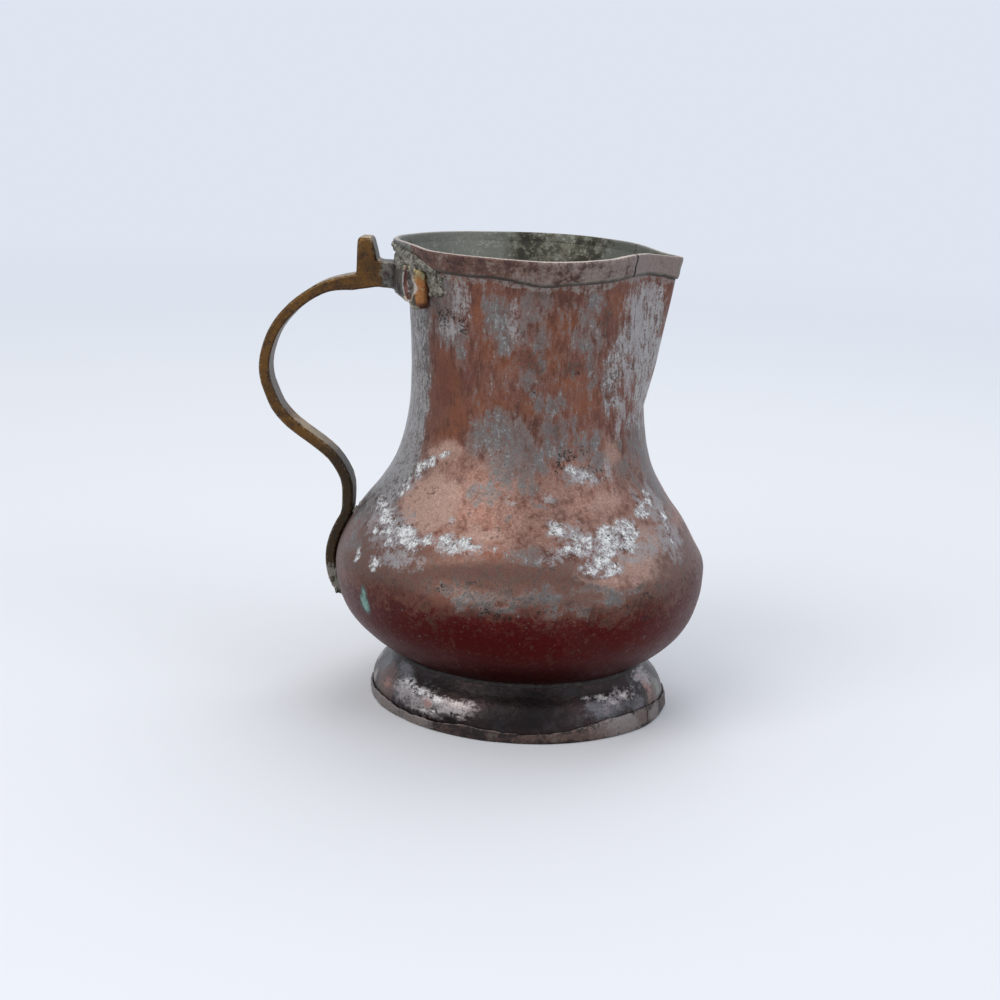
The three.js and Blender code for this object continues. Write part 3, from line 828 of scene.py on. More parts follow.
def roundedEnds(wing, radius, degrees, z):  # pulls the wings' corners in to a round of endRound
    h = handleForm
    outer = h["saddleRadius"] + h["thickness"]
    perDegree = math.radians(1) * outer
    endAlong, endOut = h["endDegrees"] * perDegree - h["endRound"], outer - h["endRound"]
    along = np.clip(degrees * perDegree - endAlong, 0, None)
    out = np.clip(radius - endOut, 0, None)
    over = np.clip(z - (h["saddleTop"] - h["endRound"]), 0, None)
    under = np.clip((h["saddleLow"] + h["endRound"] * 1.2) - z, 0, None)
    rise = np.where(degrees > 36, over - under, 0)
    reach = np.sqrt(along**2 + out**2 + rise**2)
    atEnd = wing & (along > 0)
    pull = np.where(atEnd & (reach > h["endRound"]), h["endRound"] / np.maximum(reach, 1e-6), 1)
    degrees = np.where(atEnd, (endAlong + along * pull) / perDegree, degrees)
    radius = np.where(atEnd & (out > 0), endOut + out * pull, radius)
    return radius, degrees, z - rise * (1 - pull) * atEnd


def shapeSaddle(piece):  # rounds the wings' ends and moves the almond hollow to where it belongs
    h = handleForm
    places = placesOf(piece)
    radius, degrees, side, z = saddlePlaces(places)
    outer = h["saddleRadius"] + h["thickness"]
    (degreesLow, degreesHigh), (low, high) = h["wingDegrees"], h["wingHeights"]
    wing = (degrees > degreesLow) & (degrees < degreesHigh) & (z > low) & (z < high) & (radius < outer + 2)
    almondDegrees, almondHeight = h["solidPocket"]
    oldHollow = wing & (np.abs(degrees - almondDegrees) < 8) & (radius > h["saddleRadius"] + 2.4)
    radius = np.where(oldHollow & (np.abs(z - almondHeight) < 8.4), np.maximum(radius, outer - 0.02), radius)
    longer = (h["endDegrees"] - h["solidEndDegrees"]) * eased(degrees, 33, h["solidEndDegrees"])
    degrees = np.where(wing, degrees + longer, degrees)
    radius, degrees, z = roundedEnds(wing, radius, degrees, z)
    z = z + h["wingLift"] * eased(z, 210, h["saddleTop"]) * eased(degrees, 21, 29) * wing
    z = z + lowEdgeRise(degrees) * (1 - eased(z, 205, 214)) * wing
    share = pocketShare(degrees, z)
    face = wing & (radius > h["saddleRadius"] + 2.6)
    hollow = h["pocketDepth"] * (1 - eased(share, 0.5, 1.02))
    hollow = hollow - h["pocketRim"] * np.exp(-(((share - 1.25) / 0.25) ** 2))
    swell = h["endSwell"] * np.exp(-(((degrees - h["endDegrees"] + 2.7) / 1.5) ** 2))
    radius = np.where(face, radius - hollow + swell, radius)
    turn = np.radians(degrees)
    neck = bodyRadius(z) + (shiftAt(h["saddleMiddle"]) - shiftAt(z)) * np.cos(turn)
    # the lifted wings stay outside the flaring neck
    radius = np.where(wing, np.maximum(radius, neck), radius)
    x = -radius * np.cos(turn) + shiftAt(h["saddleMiddle"])
    moved = np.stack([x, side * radius * np.sin(turn), z], 1)
    putPlaces(piece, np.where(wing[:, None], moved, places))


def shapePost(piece):  # brings the post's front edge nearly upright and rounds its top
    x, y, z = placesOf(piece).T
    foot = handleForm["saddleTop"] + 0.4
    back = x[(z > foot + 3) & (x < -60)].min()
    up = np.clip((z - foot) / handleForm["postRise"], 0, 1)
    (solidFoot, footWidth), (solidTop, topWidth) = handleForm["postFootWidth"], handleForm["postTopWidth"]
    share = (footWidth + (topWidth - footWidth) * up) / (solidFoot + (solidTop - solidFoot) * up)
    front = back + solidFoot
    near = (1 - eased(x, front, front + 4)) * eased(z, foot - 1.5, foot)
    moved = back + (np.clip(x, back, None) - back) * share
    x = np.where((z > foot - 1.5) & (x < front + 4) & (x > back), x + (moved - x) * near, x)
    inPost = (z > foot + 4) & (x < front)
    r = handleForm["postRound"]
    halfWay = (x[inPost & (z > z.max() - 2 * r)].max() - back) / 2
    fromMiddle = x - back - halfWay
    ends = [np.abs(fromMiddle) - halfWay + r, z - z.max() + r, np.abs(y) - np.abs(y[inPost]).max() + r]
    ends = np.clip(np.stack(ends, 1), 0, None)
    pull = np.minimum(1, r / np.maximum(np.linalg.norm(ends, axis=1), 1e-6))
    give = np.where((inPost & (ends[:, 1] > 0))[:, None], ends * (pull - 1)[:, None], 0)
    x = x + give[:, 0] * np.sign(fromMiddle)
    putPlaces(piece, np.stack([x, y + give[:, 2] * np.sign(y), z + give[:, 1]], 1))


def castHandle():
    piece = softened("handle", "castHandle", handleForm["voxel"], handleForm["rounds"])
    shapeSaddle(piece)
    shapePost(piece)
    pushOut(piece, waves(placesOf(piece), handleForm["waves"]))
    paintField(piece, "wearAndEdgeLight", edgeBulge(piece, handleForm["bulgeReach"], handleForm["bulgeStrength"]))
    return piece


def roughSolder(source, name, seed):
    s = solderForm
    piece = softened(source, name, s["voxel"], s["rounds"])
    places = placesOf(piece)
    lumps = waves(places, [(s["lumps"], s["lumpSize"], seed), (s["pores"], s["poreSize"], seed + 1)])
    pores = eased(roughly(places, 1.6, seed + 2), 0.35, 0.7) * s["pores"] * 1.6
    pushOut(piece, lumps - pores)
    return piece


neckSolderForm = dict(
    seed=401,
    groups=[  # how many, degrees from the handle's middle, heights, how far out from the neck, half sizes
        (112, (0, 29), (222.4, 226), (0.6, 4.2), (1.2, 2.2)),
        (58, (28, 43), (226, 228), (0.4, 3.4), (1.2, 2.0)),
        (260, (0, 51), (224.5, 233.2), (1.2, 1.9), (1.1, 2.0)),
        (120, (43.5, 52), (213, 226), (0, 0.8), (0.9, 1.7)),
        (60, (40, 48), (225, 228), (0.6, 2.2), (0.9, 1.6)),
        (14, (52, 58), (214, 226), (0, 0.4), (0.7, 1.1)),
    ],
    stretch=(1, 1.1, 1),
    thickness=0.55,
    slopeFrom=30,  # from here on, in degrees, the runs end lower
    slope=0.42,
    top=233.4,
)


def roundLump():  # corners and triangles of one rough lump
    ball = bmesh.new()
    bmesh.ops.create_icosphere(ball, subdivisions=2, radius=1)
    corners = np.array([v.co for v in ball.verts])
    triangles = np.array([[v.index for v in face.verts] for face in ball.faces])
    ball.free()
    return corners, triangles


def solderBlobs():  # runs of tin solder over the saddle, the strip's ends and the neck beside them
    n = neckSolderForm
    draw = np.random.default_rng(n["seed"])
    corners, triangles = roundLump()
    points, faces = [], []
    for count, degrees, heights, outs, halves in n["groups"]:
        for _ in range(count):
            side = draw.choice((-1, 1))
            degree, z, out = draw.uniform(*degrees), draw.uniform(*heights), draw.uniform(*outs)
            z = min(z, n["top"] - max(degree - n["slopeFrom"], 0) * n["slope"])
            deep, wide, tall = draw.uniform(*halves, 3) * n["stretch"]
            angle = math.radians(180 + side * degree)
            radial = np.array([math.cos(angle), math.sin(angle), 0])
            sideways = np.array([-math.sin(angle), math.cos(angle), 0])
            centre = radial * (float(bodyRadius(z)) + out) + (float(shiftAt(z)) + axisX, 0, z)
            lump = corners[:, :1] * radial * min(deep * n["thickness"], 0.9 + out)
            lump = lump + corners[:, 1:2] * sideways * wide + corners[:, 2:] * (0, 0, tall)
            faces.append(triangles + len(points) * len(corners))
            points.append(centre + lump)
    mesh = bpy.data.meshes.new("neckSolder")
    mesh.from_pydata((np.vstack(points) * mm).tolist(), [], np.vstack(faces).tolist())
    return mesh


tailSolderForm = dict(
    seed=402,
    groups=[  # how many, half width across, heights, how far out from the belly, half sizes
        (30, 7.2, (56, 61.5), (4.2, 6.0), (0.9, 1.5)),
        (80, 6.3, (50, 57), (0.0, 4.8), (1.3, 2.0)),
        (30, 5.8, (47.5, 50), (0.0, 3.4), (1.1, 1.7)),
        (16, 6.0, (91.5, 95), (-0.3, 0.9), (0.8, 1.3)),
        (4, 4.0, (97, 99), (-0.3, 0.2), (0.7, 1.0)),
    ],
    stretch=(0.7, 1.1, 1),
)


def tailLumps():  # the node's fillet with more solder run round the strap's end
    draw = np.random.default_rng(tailSolderForm["seed"])
    corners, triangles = roundLump()
    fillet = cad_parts["lower_solder"].data
    points = [rowsOf(fillet, "co") / mm]
    faces = [list(face.vertices) for face in fillet.polygons]
    start = len(fillet.vertices)
    for count, across, heights, outs, halves in tailSolderForm["groups"]:
        for _ in range(count):
            y, z, out = draw.uniform(-across, across), draw.uniform(*heights), draw.uniform(*outs)
            size = draw.uniform(*halves, 3) * tailSolderForm["stretch"]
            reach = math.sqrt((float(bodyRadius(z)) + out) ** 2 - y**2)
            points.append(corners * size + (float(shiftAt(z)) + axisX - reach, y, z))
            faces += (triangles + start).tolist()
            start += len(corners)
    mesh = bpy.data.meshes.new("tailSolder")
    mesh.from_pydata((np.vstack(points) * mm).tolist(), [], faces)
    return mesh


handlePiece = castHandle()
neckSolder = roughSolder(solderBlobs(), "neckSolder", 71)
tailSolder = roughSolder(tailLumps(), "tailSolder", 81)
print("handle and solder shaped:", len(handlePiece.data.polygons), "faces on the handle")

# Where tin, corrosion, soot and bare copper lie on the body: azimuth, height, half width, half height,
# in degrees and millimetres, with a tilt in millimetres for each degree where it slants

bodyPatches = dict(
    tin=[
        (-166, 175, 27, 52), (-164, 125, 24, 34), (-158, 207, 22, 22), (-127, 213, 11, 12),
        (-125, 197, 11, 9), (-118, 188, 4, 7), (-98, 207, 8, 13), (-97, 195, 5, 7), (-104, 213, 3, 7),
        (-104, 201, 3, 6), (-88, 200, 3, 7), (-85, 214, 4, 5), (-77, 215, 4, 6), (-83, 207, 6, 3),
        (-79, 196, 4, 8), (-78, 187, 2.5, 6), (-86, 177, 4, 5), (-84, 172, 2.5, 3), (-80, 166, 3, 7),
        (-74, 165, 5, 6), (-69, 167, 3, 5), (-76, 152, 4, 8), (-69, 152, 3, 7), (-70, 143, 6, 6),
        (-63, 150, 2, 8), (-64, 157, 2, 4), (-58, 146, 4, 8), (-53, 147, 4, 8), (-50, 137, 6, 6),
        (-60, 133, 10, 5), (-53, 215, 6, 10), (-58, 205, 4, 7), (-52, 202, 3, 6), (-62, 197, 3, 5),
        (-57, 193, 5, 5), (-50, 197, 2, 8), (-55, 185, 3, 7), (-53, 178, 3, 4), (-35, 190, 6, 12),
        (-43, 185, 5, 6), (-44, 176, 5, 8), (-38, 180, 5, 6), (-45, 165, 3, 8), (-38, 166, 5, 4),
        (-27, 197, 8, 12), (-15, 205, 12, 18), (-12, 185, 14, 14), (-10, 165, 14, 12), (-26, 155, 4, 6),
        (-25, 146, 5, 5), (-37, 145, 3, 4), (-27, 126, 5, 3, -1.2), (-5, 140, 10, 20), (-10, 120, 12, 12),
        (-107, 147, 8, 9), (-99, 150, 9, 12), (-90, 147, 8, 10), (-95, 137, 8, 7), (-84, 142, 7, 8),
        (-86, 134, 6, 5), (-78, 137, 4, 5), (-99, 128, 3, 5), (-93, 131, 3, 6), (-86, 127, 2.5, 6),
        (-82, 126, 3, 4), (-76, 145, 3, 6), (-104, 158, 3, 4), (-107, 123, 3, 4), (-103, 119, 2, 2),
        (-96, 120.5, 4, 1, -0.3), (-82, 120, 4, 1.2, -0.25), (-75, 121, 3, 2), (-91, 111, 1.2, 2),
        (-104, 76, 3, 5), (-109, 80, 2, 3), (-95, 73, 5, 3), (-90, 72, 4, 2), (-77, 79, 3, 6),
        (-80, 79, 6, 3), (-76, 74, 3, 3), (-64, 82, 6, 2.5), (-57, 76, 5, 5), (-83, 97.5, 5, 3),
        (-50, 81, 3, 2), (-88, 97, 3, 2), (-68, 73, 3, 3), (-153, 85, 6, 4), (-18, 149, 8, 11),
        (-36, 132, 5, 6), (-24, 142, 6, 10), (-15, 134, 7, 9), (-100, 122, 7, 5), (-96, 77, 12, 2.5),
    ],
    pale=[  # white corrosion
        (-141, 118, 2, 6), (-138, 126, 3, 4), (-133, 131, 4, 3, 0.4), (-125, 136.5, 4, 1.5, 0.3),
        (-148, 106, 7, 3, -0.3), (-140, 103, 6, 4, -0.3), (-143, 97, 3, 3), (-129, 99.5, 5, 4.5),
        (-125, 97, 5, 3.5), (-137, 97.5, 4, 3), (-133, 93, 3, 2), (-122, 98.5, 3, 3.5), (-68, 99, 4, 2.5),
        (-60, 97, 4, 3), (-46, 104, 4, 4), (-117.5, 100.5, 1.5, 2), (-111, 100, 3, 2), (-109, 98, 4, 2.5),
        (-104, 99.5, 4, 1.5, -0.2), (-112, 97, 2, 2), (-68, 106, 2, 2), (-62, 104, 3, 2), (-66, 102.5, 3, 2),
        (-55, 101, 5, 2.5), (-52, 104, 6, 4.5), (-45, 107, 5, 3.5), (-42, 105, 2.5, 3), (-64, 100.5, 3, 2),
        (-57, 98.5, 5, 2.5), (-48, 99, 5, 2), (-60, 94, 4, 3), (-63, 92, 3, 2), (-56, 92, 3, 3),
        (-74, 108, 3, 3), (-57, 89, 4, 1.2), (-57, 130, 5, 2), (-53, 128, 3, 2), (-64, 133.5, 3, 1.5),
        (-33, 111.5, 3, 2.5), (-31, 112, 2, 2), (-26, 115, 3, 2), (-24, 118, 2, 2), (-20.5, 108, 3, 3),
        (-23.5, 97.5, 1.3, 3), (-22, 103, 1, 2), (-135.5, 83.5, 2.5, 2.5), (-146, 83, 1.5, 2),
        (-95, 98, 0.7, 1.2),
    ],
    soot=[
        (-68, 142, 4, 3), (-70, 137, 3, 3), (-66, 139, 3, 1.5), (-57, 135.5, 5, 1.2, -0.3),
        (-53, 133.5, 5, 1.4, -0.25), (-49, 132.5, 3, 1), (-58, 144, 3, 2), (-64, 141, 3, 2), (-72, 133, 2, 2),
        (-30, 133, 1.5, 1.5), (-24, 127, 2, 2), (-46, 77.5, 2, 2.5), (-44, 76, 2.5, 1.5), (-47, 78, 1, 1.5),
        (-60, 180, 3, 1), (-83, 172, 1.5, 1), (-91, 68, 4, 2), (-95, 71, 4, 1.5), (-63, 66.5, 2, 2.5),
        (-45, 66, 2, 2), (-110, 78.5, 1.6, 2.5), (-79, 73, 2.5, 1.5), (-54, 73, 3, 1.5), (-39, 178, 3, 3),
        (-27, 182, 3, 3), (-28, 198, 1, 1.5), (-127, 203, 7, 5), (-117, 200, 4, 5), (-52, 105, 3, 1.5),
        (-48, 103, 1, 1), (-91.3, 112, 0.8, 0.8), (-91, 108, 0.4, 2), (-133, 102, 2, 1.7),
        (-128, 103.5, 1.5, 1), (-135, 129, 1.5, 1.5), (-140, 106, 1, 1), (-7.5, 217.5, 0.8, 7, -3.5),
    ],
    lilac=[  # thin greyish film
        (-66, 105, 7, 4), (-59, 103, 7, 4.5), (-52, 101, 6, 4), (-76, 121, 3, 2.5), (-134, 95, 9, 7),
        (-127, 89, 9, 5), (-148, 99, 5, 6), (-24, 98, 9, 9), (-20, 112, 7, 12), (-40, 98, 8, 6),
        (-91, 121, 3, 1.2, -0.3), (-139, 122, 2, 7), (-134, 130.5, 4, 3, 0.4), (-33, 160, 3, 8),
        (-36, 152, 2.5, 6), (-29, 176, 5, 12), (-22, 192, 6, 14), (-25, 212, 7, 9), (-15, 218, 9, 6),
        (-33, 118, 2, 5, -0.8), (-28, 110, 3, 3), (-118, 214, 5, 9), (-125, 198, 8, 6), (-92, 205, 3, 8),
        (-60, 131, 7, 3), (-47, 94, 3, 2), (-45, 134, 3, 6), (-75, 97, 5, 2.5), (-140, 90, 4, 3),
        (-112, 108, 2, 1.5), (-58, 101, 13, 6), (-138, 102, 10, 5), (-129, 98.5, 6, 4), (-107, 98.5, 7, 3),
    ],
    # brown smears; those at about -130 degrees beside the handle's saddle are painted shadow, and the row
    # along the belly at 72 to 83 mm is partly painted shade
    stain=[  # brown smears
        (-85, 187, 6, 5), (-82, 184, 4, 3), (-63, 183, 5, 4), (-133, 207, 3.5, 7), (-129, 219, 3, 4),
        (-130, 203, 4, 4), (-44, 208, 5, 9), (-77, 219, 6, 4), (-72, 152, 3, 8), (-96, 72, 8, 3),
        (-46, 83, 4, 2), (-80, 76, 9, 3), (-97, 79, 12, 4), (-62, 74, 8, 2.5), (-50, 72, 6, 4),
        (-108, 78, 4, 4),
    ],
    orange=[
        (-128, 174, 8, 12), (-121, 156, 6, 8), (-125, 143, 7, 11), (-66, 205, 7, 8), (-57, 168, 8, 5),
        (-60, 163, 5, 5), (-65, 176, 8, 4), (-98, 164, 5, 5), (-108, 210, 3, 10), (-110, 164, 4, 6),
        (-105, 190, 5, 8), (-38, 214, 8, 6), (-75, 200, 4, 8), (-73, 187, 5, 8), (-96, 183, 6, 5),
        (-86, 163, 4, 6), (-76, 134, 3, 3),
    ],
    red=[
        (-130, 175, 6, 8), (-130, 165, 5, 6), (-96, 168, 3, 2), (-115, 175, 5, 4),
    ],
    # dust, with a painted sheen on the shoulder and along the belly's ridge
    dust=[
        (-126, 114, 15, 13), (-126, 136, 7, 7), (-98, 103, 9, 4), (-50, 119, 12, 5), (-42, 141, 6, 8),
        (-45, 90, 11, 8), (-38, 100, 10, 8), (-52, 111, 8, 4), (-60, 86, 8, 2.5, -0.35),
    ],
    green=[
        (-139, 66, 1.6, 4.5), (-139, 62, 2.4, 5),
    ],
)
farSide = (6, 186)  # away from the light, and to the back
farPatches = [  # kind, seed, how many, azimuths, heights, half widths, half heights
    ("tin", 101, 42, farSide, (140, 222), (2.5, 8), (4, 12)),
    ("tin", 102, 16, farSide, (72, 138), (3, 9), (3, 8)),
    ("pale", 103, 26, farSide, (92, 134), (2, 7), (1.5, 4.5)),
    ("soot", 104, 34, farSide, (74, 220), (1, 4), (1, 4)),
    ("orange", 105, 18, farSide, (150, 216), (3, 8), (4, 9)),
    ("red", 106, 6, farSide, (150, 190), (4, 7), (4, 9)),
    ("dust", 107, 8, farSide, (86, 140), (8, 14), (4, 12)),
    ("stain", 109, 16, farSide, (76, 218), (3, 8), (3, 8)),
    ("green", 108, 3, (60, 150), (58, 80), (1, 3), (2, 5)),
    ("lilac", 110, 22, farSide, (76, 220), (3, 8), (3, 9)),
]
bodyEdges = dict(  # the seed of the edge, and where they differ how ragged and how soft it is
    lilac=(236, 0.8), pale=(211, 0.8, 3.2), soot=(221, 0.35, 1.4), stain=(226,), orange=(231,), red=(241,),
    green=(261, 0.6),
)
edgeReach = 5.5  # how far the soft edge of a patch reaches in and out, in millimetres


def strewOver(patches, table):  # adds patches at random places, of random sizes
    for kind, seed, count, *ranges in table:
        low, high = zip(*ranges)
        rows = np.random.default_rng(seed).uniform(low, high, (count, 4))
        patches[kind] += [tuple(row) for row in rows]


def spread(places, patches, seed, ragged=1.0, reach=edgeReach):  # 1 mid-patch, 0.5 at its edge, 0 outside
    z = places[:, 2]
    x = places[:, 0] - shiftAt(z)
    perDegree = np.radians(np.clip(np.hypot(x, places[:, 1]), 20, None))
    azimuth = np.degrees(np.arctan2(places[:, 1], x))
    azimuth = azimuth + ragged * waves(places, [(2.2, 9, seed), (1.1, 3.4, seed + 1)]) / perDegree
    z = z + ragged * waves(places, [(2.4, 10, seed + 2), (1.2, 3.6, seed + 3)])
    most = np.zeros(len(places))
    for patch in patches:
        az, height, halfWidth, halfHeight = patch[:4]
        off = wrapped(azimuth - az)
        tilt = patch[4] if len(patch) > 4 else 0  # millimetres for each degree
        away = np.hypot(off / halfWidth, (z - height - tilt * off) / halfHeight)
        soft = np.clip(reach / np.minimum(halfWidth * perDegree, halfHeight), 0.15, 0.9)
        most = np.maximum(most, 1 - eased(away, 1 - soft, 1 + soft))
    return most


def paintPatches(piece, patches, edges):
    places = placesOf(piece)
    for kind, edge in edges.items():
        paintField(piece, kind, spread(places, patches[kind], *edge))


def oliveInside(azimuth):  # where the old tin inside has gone olive
    return eased(azimuth, 44, 64) * (1 - eased(azimuth, 92, 114))


def paintBody(piece):
    paintPatches(piece, bodyPatches, bodyEdges)
    places = placesOf(piece)
    z = places[:, 2]
    azimuth = np.degrees(np.arctan2(places[:, 1], places[:, 0] - shiftAt(z)))
    streaked = eased(z, 140, 152) * (1 - eased(z, 214, 224))
    streaked = streaked * eased(azimuth, -132, -96) * (1 - eased(azimuth, 150, 175))
    # painted reflection: towards both side edges the tin is painted paler and fuller, as the metal mirrors
    # the pale room at a grazing angle there
    right = eased(azimuth, -56, -30) * eased(z, 140, 165) * (1 - eased(azimuth, 60, 110))
    left = (1 - eased(azimuth, -146, -134)) * eased(z, 96, 110) * (1 - 0.4 * eased(z, 150, 196))
    tin = spread(places, bodyPatches["tin"], 201) * (1 + 0.8 * left)
    paintField(piece, "tin", np.maximum(tin, 0.3 * streaked))
    paintField(piece, "sideReflection", np.maximum(right * (1 + 0.6 * eased(z, 190, 214)), 0.8 * left))
    # a pale veil of dust with a painted sheen: the given patches, and the upward-facing shoulder all round
    dust = spread(places, bodyPatches["dust"], 251, 1.5) * (1 - 0.22 * eased(azimuth, -112, -84))
    behind = eased(azimuth, 4, 30) * (1 - eased(azimuth, 160, 176))
    uneven = z + behind * waves(places, [(16, 34, 276), (8, 15, 277)])
    shoulder = eased(uneven, 92, 102) * (1 - eased(uneven, 132, 150))
    paintField(piece, "dust", np.clip(np.maximum(dust, 0.42 * shoulder), 0, 1))
    paintField(piece, "mid", eased(z, 72, 78) * (1 - eased(z, 92, 100)))
    # the dark red-brown lower belly: red oxide, deepened by painted shade and a painted reflection of dark
    # red surroundings
    rise = 9 * eased(azimuth, -42, -22) * (1 - eased(azimuth, 10, 40))
    rise = rise + behind * 9 * roughly(places, 40, 278)
    low = 1 - eased(z - rise + 4 * roughly(places, 14, 271) + 2 * roughly(places, 5, 272), 55, 82)
    paintField(piece, "low", low)
    paintField(piece, "olive", oliveInside(azimuth))
    # a dark line just under the strip's lower edge: dirt, made darker as a painted shadow of the strip
    below = stripBottom(azimuth) + rimLift(azimuth, z) - z  # under the strip's lower edge
    crustEnd = 5 + 2.5 * roughly(places, 9, 281)
    nearTop = eased(z, 200, 210)
    paintField(piece, "dirt", (1 - eased(below, 0.4, 1.9)) * nearTop)
    paintField(piece, "crust", (1 - eased(below, crustEnd - 2, crustEnd)) * nearTop)


strewOver(bodyPatches, farPatches)
paintBody(upperBody)
paintBody(lowerBowl)
print("patches painted on the body")

# Finishes, all worked out from noise and the painted fields


def linear(tones):
    return {name: tone(*value) for name, value in tones.items()}


class Finish:  # a material whose colour and relief are worked out node by node
    def __init__(self, name):
        self.material = bpy.data.materials.new(name)
        self.material.use_nodes = True
        self.nodes = self.material.node_tree.nodes
        self.links = self.material.node_tree.links
        self.nodes.clear()
        self.shader = self.nodes.new("ShaderNodeBsdfPrincipled")
        self.links.new(self.shader.outputs[0], self.nodes.new("ShaderNodeOutputMaterial").inputs[0])
        self.place = self.nodes.new("ShaderNodeTexCoord").outputs["Object"]

    def feed(self, socket, value):
        if isinstance(value, bpy.types.NodeSocket):
            self.links.new(value, socket)
        else:
            socket.default_value = value

    def reckon(self, kind, *values):
        node = self.nodes.new("ShaderNodeMath")
        node.operation = kind
        for socket, value in zip(node.inputs, values):
            self.feed(socket, value)
        return node.outputs[0]

    def field(self, name):
        node = self.nodes.new("ShaderNodeAttribute")
        node.attribute_name = name
        return node.outputs["Fac"]

    def upright(self):  # height in metres
        node = self.nodes.new("ShaderNodeSeparateXYZ")
        self.links.new(self.place, node.inputs[0])
        return node.outputs[2]

    def noise(self, size, detail=3, rough=0.55, stretch=(1, 1, 1), seed=0, twist=0):  # size in millimetres
        grow = self.nodes.new("ShaderNodeVectorMath")
        grow.operation = "MULTIPLY_ADD"
        self.links.new(self.place, grow.inputs[0])
        grow.inputs[1].default_value = [s / (size * mm) for s in stretch]
        grow.inputs[2].default_value = (seed * 3.7, seed * 1.3, seed * 2.1)
        node = self.nodes.new("ShaderNodeTexNoise")
        self.links.new(grow.outputs[0], node.inputs["Vector"])
        node.inputs["Scale"].default_value = 1
        node.inputs["Detail"].default_value = detail
        node.inputs["Roughness"].default_value = rough
        node.inputs["Distortion"].default_value = twist
        return node.outputs[0]

    def stretchTo(self, value, low, high, start=0.0, end=1.0):
        node = self.nodes.new("ShaderNodeMapRange")
        node.interpolation_type = "SMOOTHSTEP"
        for socket, number in zip(node.inputs, (value, low, high, start, end)):
            self.feed(socket, number)
        return node.outputs[0]

    def layer(self, under, over, share):
        node = self.nodes.new("ShaderNodeMix")
        node.data_type = "RGBA"
        self.feed(node.inputs[0], share)
        self.feed(node.inputs[6], under)
        self.feed(node.inputs[7], over)
        return node.outputs[2]

    def shade(self, colour, share):  # multiplies a colour by a grey
        node = self.nodes.new("ShaderNodeMix")
        node.data_type = "RGBA"
        node.blend_type = "MULTIPLY"
        node.inputs[0].default_value = 1
        self.feed(node.inputs[6], colour)
        self.feed(node.inputs[7], share)
        return node.outputs[2]

    def plus(self, value, noise, amount):  # value + (noise - 0.5) * amount
        return self.reckon("MULTIPLY_ADD", self.reckon("SUBTRACT", noise, 0.5), amount, value)

    def mixed(self, value, *noises):  # the same for each (noise, amount) in turn
        for noise, amount in noises:
            value = self.plus(value, noise, amount)
        return value

    def raggedBy(self, *noises):  # gives a function that breaks up a painted field's edge with these noises
        return lambda name, *amounts: self.mixed(self.field(name), *zip(noises, amounts))

    def within(self, name, share, full=0.22):  # none of it where the field is empty
        return self.reckon("MULTIPLY", share, self.stretchTo(self.field(name), 0.02, full))

    def relief(self, height, depth, below=None):  # depth in millimetres
        node = self.nodes.new("ShaderNodeBump")
        node.inputs["Strength"].default_value = 1
        node.inputs["Distance"].default_value = depth * mm
        self.feed(node.inputs["Height"], height)
        if below is not None:
            self.links.new(below, node.inputs["Normal"])
        return node.outputs[0]

    def finish(self, colour, roughness, metallic, normal):
        self.feed(self.shader.inputs["Base Color"], colour)
        self.feed(self.shader.inputs["Roughness"], roughness)
        self.feed(self.shader.inputs["Metallic"], metallic)
        self.feed(self.shader.inputs["Normal"], normal)
        return self.material


bodyTones = dict(
    copper=(122, 80, 66),
    umber=(94, 62, 52),
    orange=(132, 80, 55),
    red=(104, 62, 54),
    dust=(180, 147, 132),
    dustAndSheenPale=(202, 174, 160),
    middle=(116, 86, 75),
    middleGrey=(104, 94, 88),
    low=(74, 12, 11),
    lowLight=(94, 34, 26),
    lowPurple=(66, 23, 24),
    stain=(66, 52, 44),
    veil=(128, 110, 104),
    tinWarm=(118, 105, 100),
    tinBlue=(110, 107, 105),
    tinDark=(68, 60, 56),
    tinPale=(170, 168, 166),
    lilac=(160, 154, 153),
    halo=(152, 145, 144),
    white=(242, 245, 245),
    whiteDull=(202, 202, 202),
    soot=(34, 30, 28),
    green=(128, 168, 156),
    greenDull=(74, 96, 92),
    dirt=(40, 33, 28),
    crust=(140, 132, 126),
)


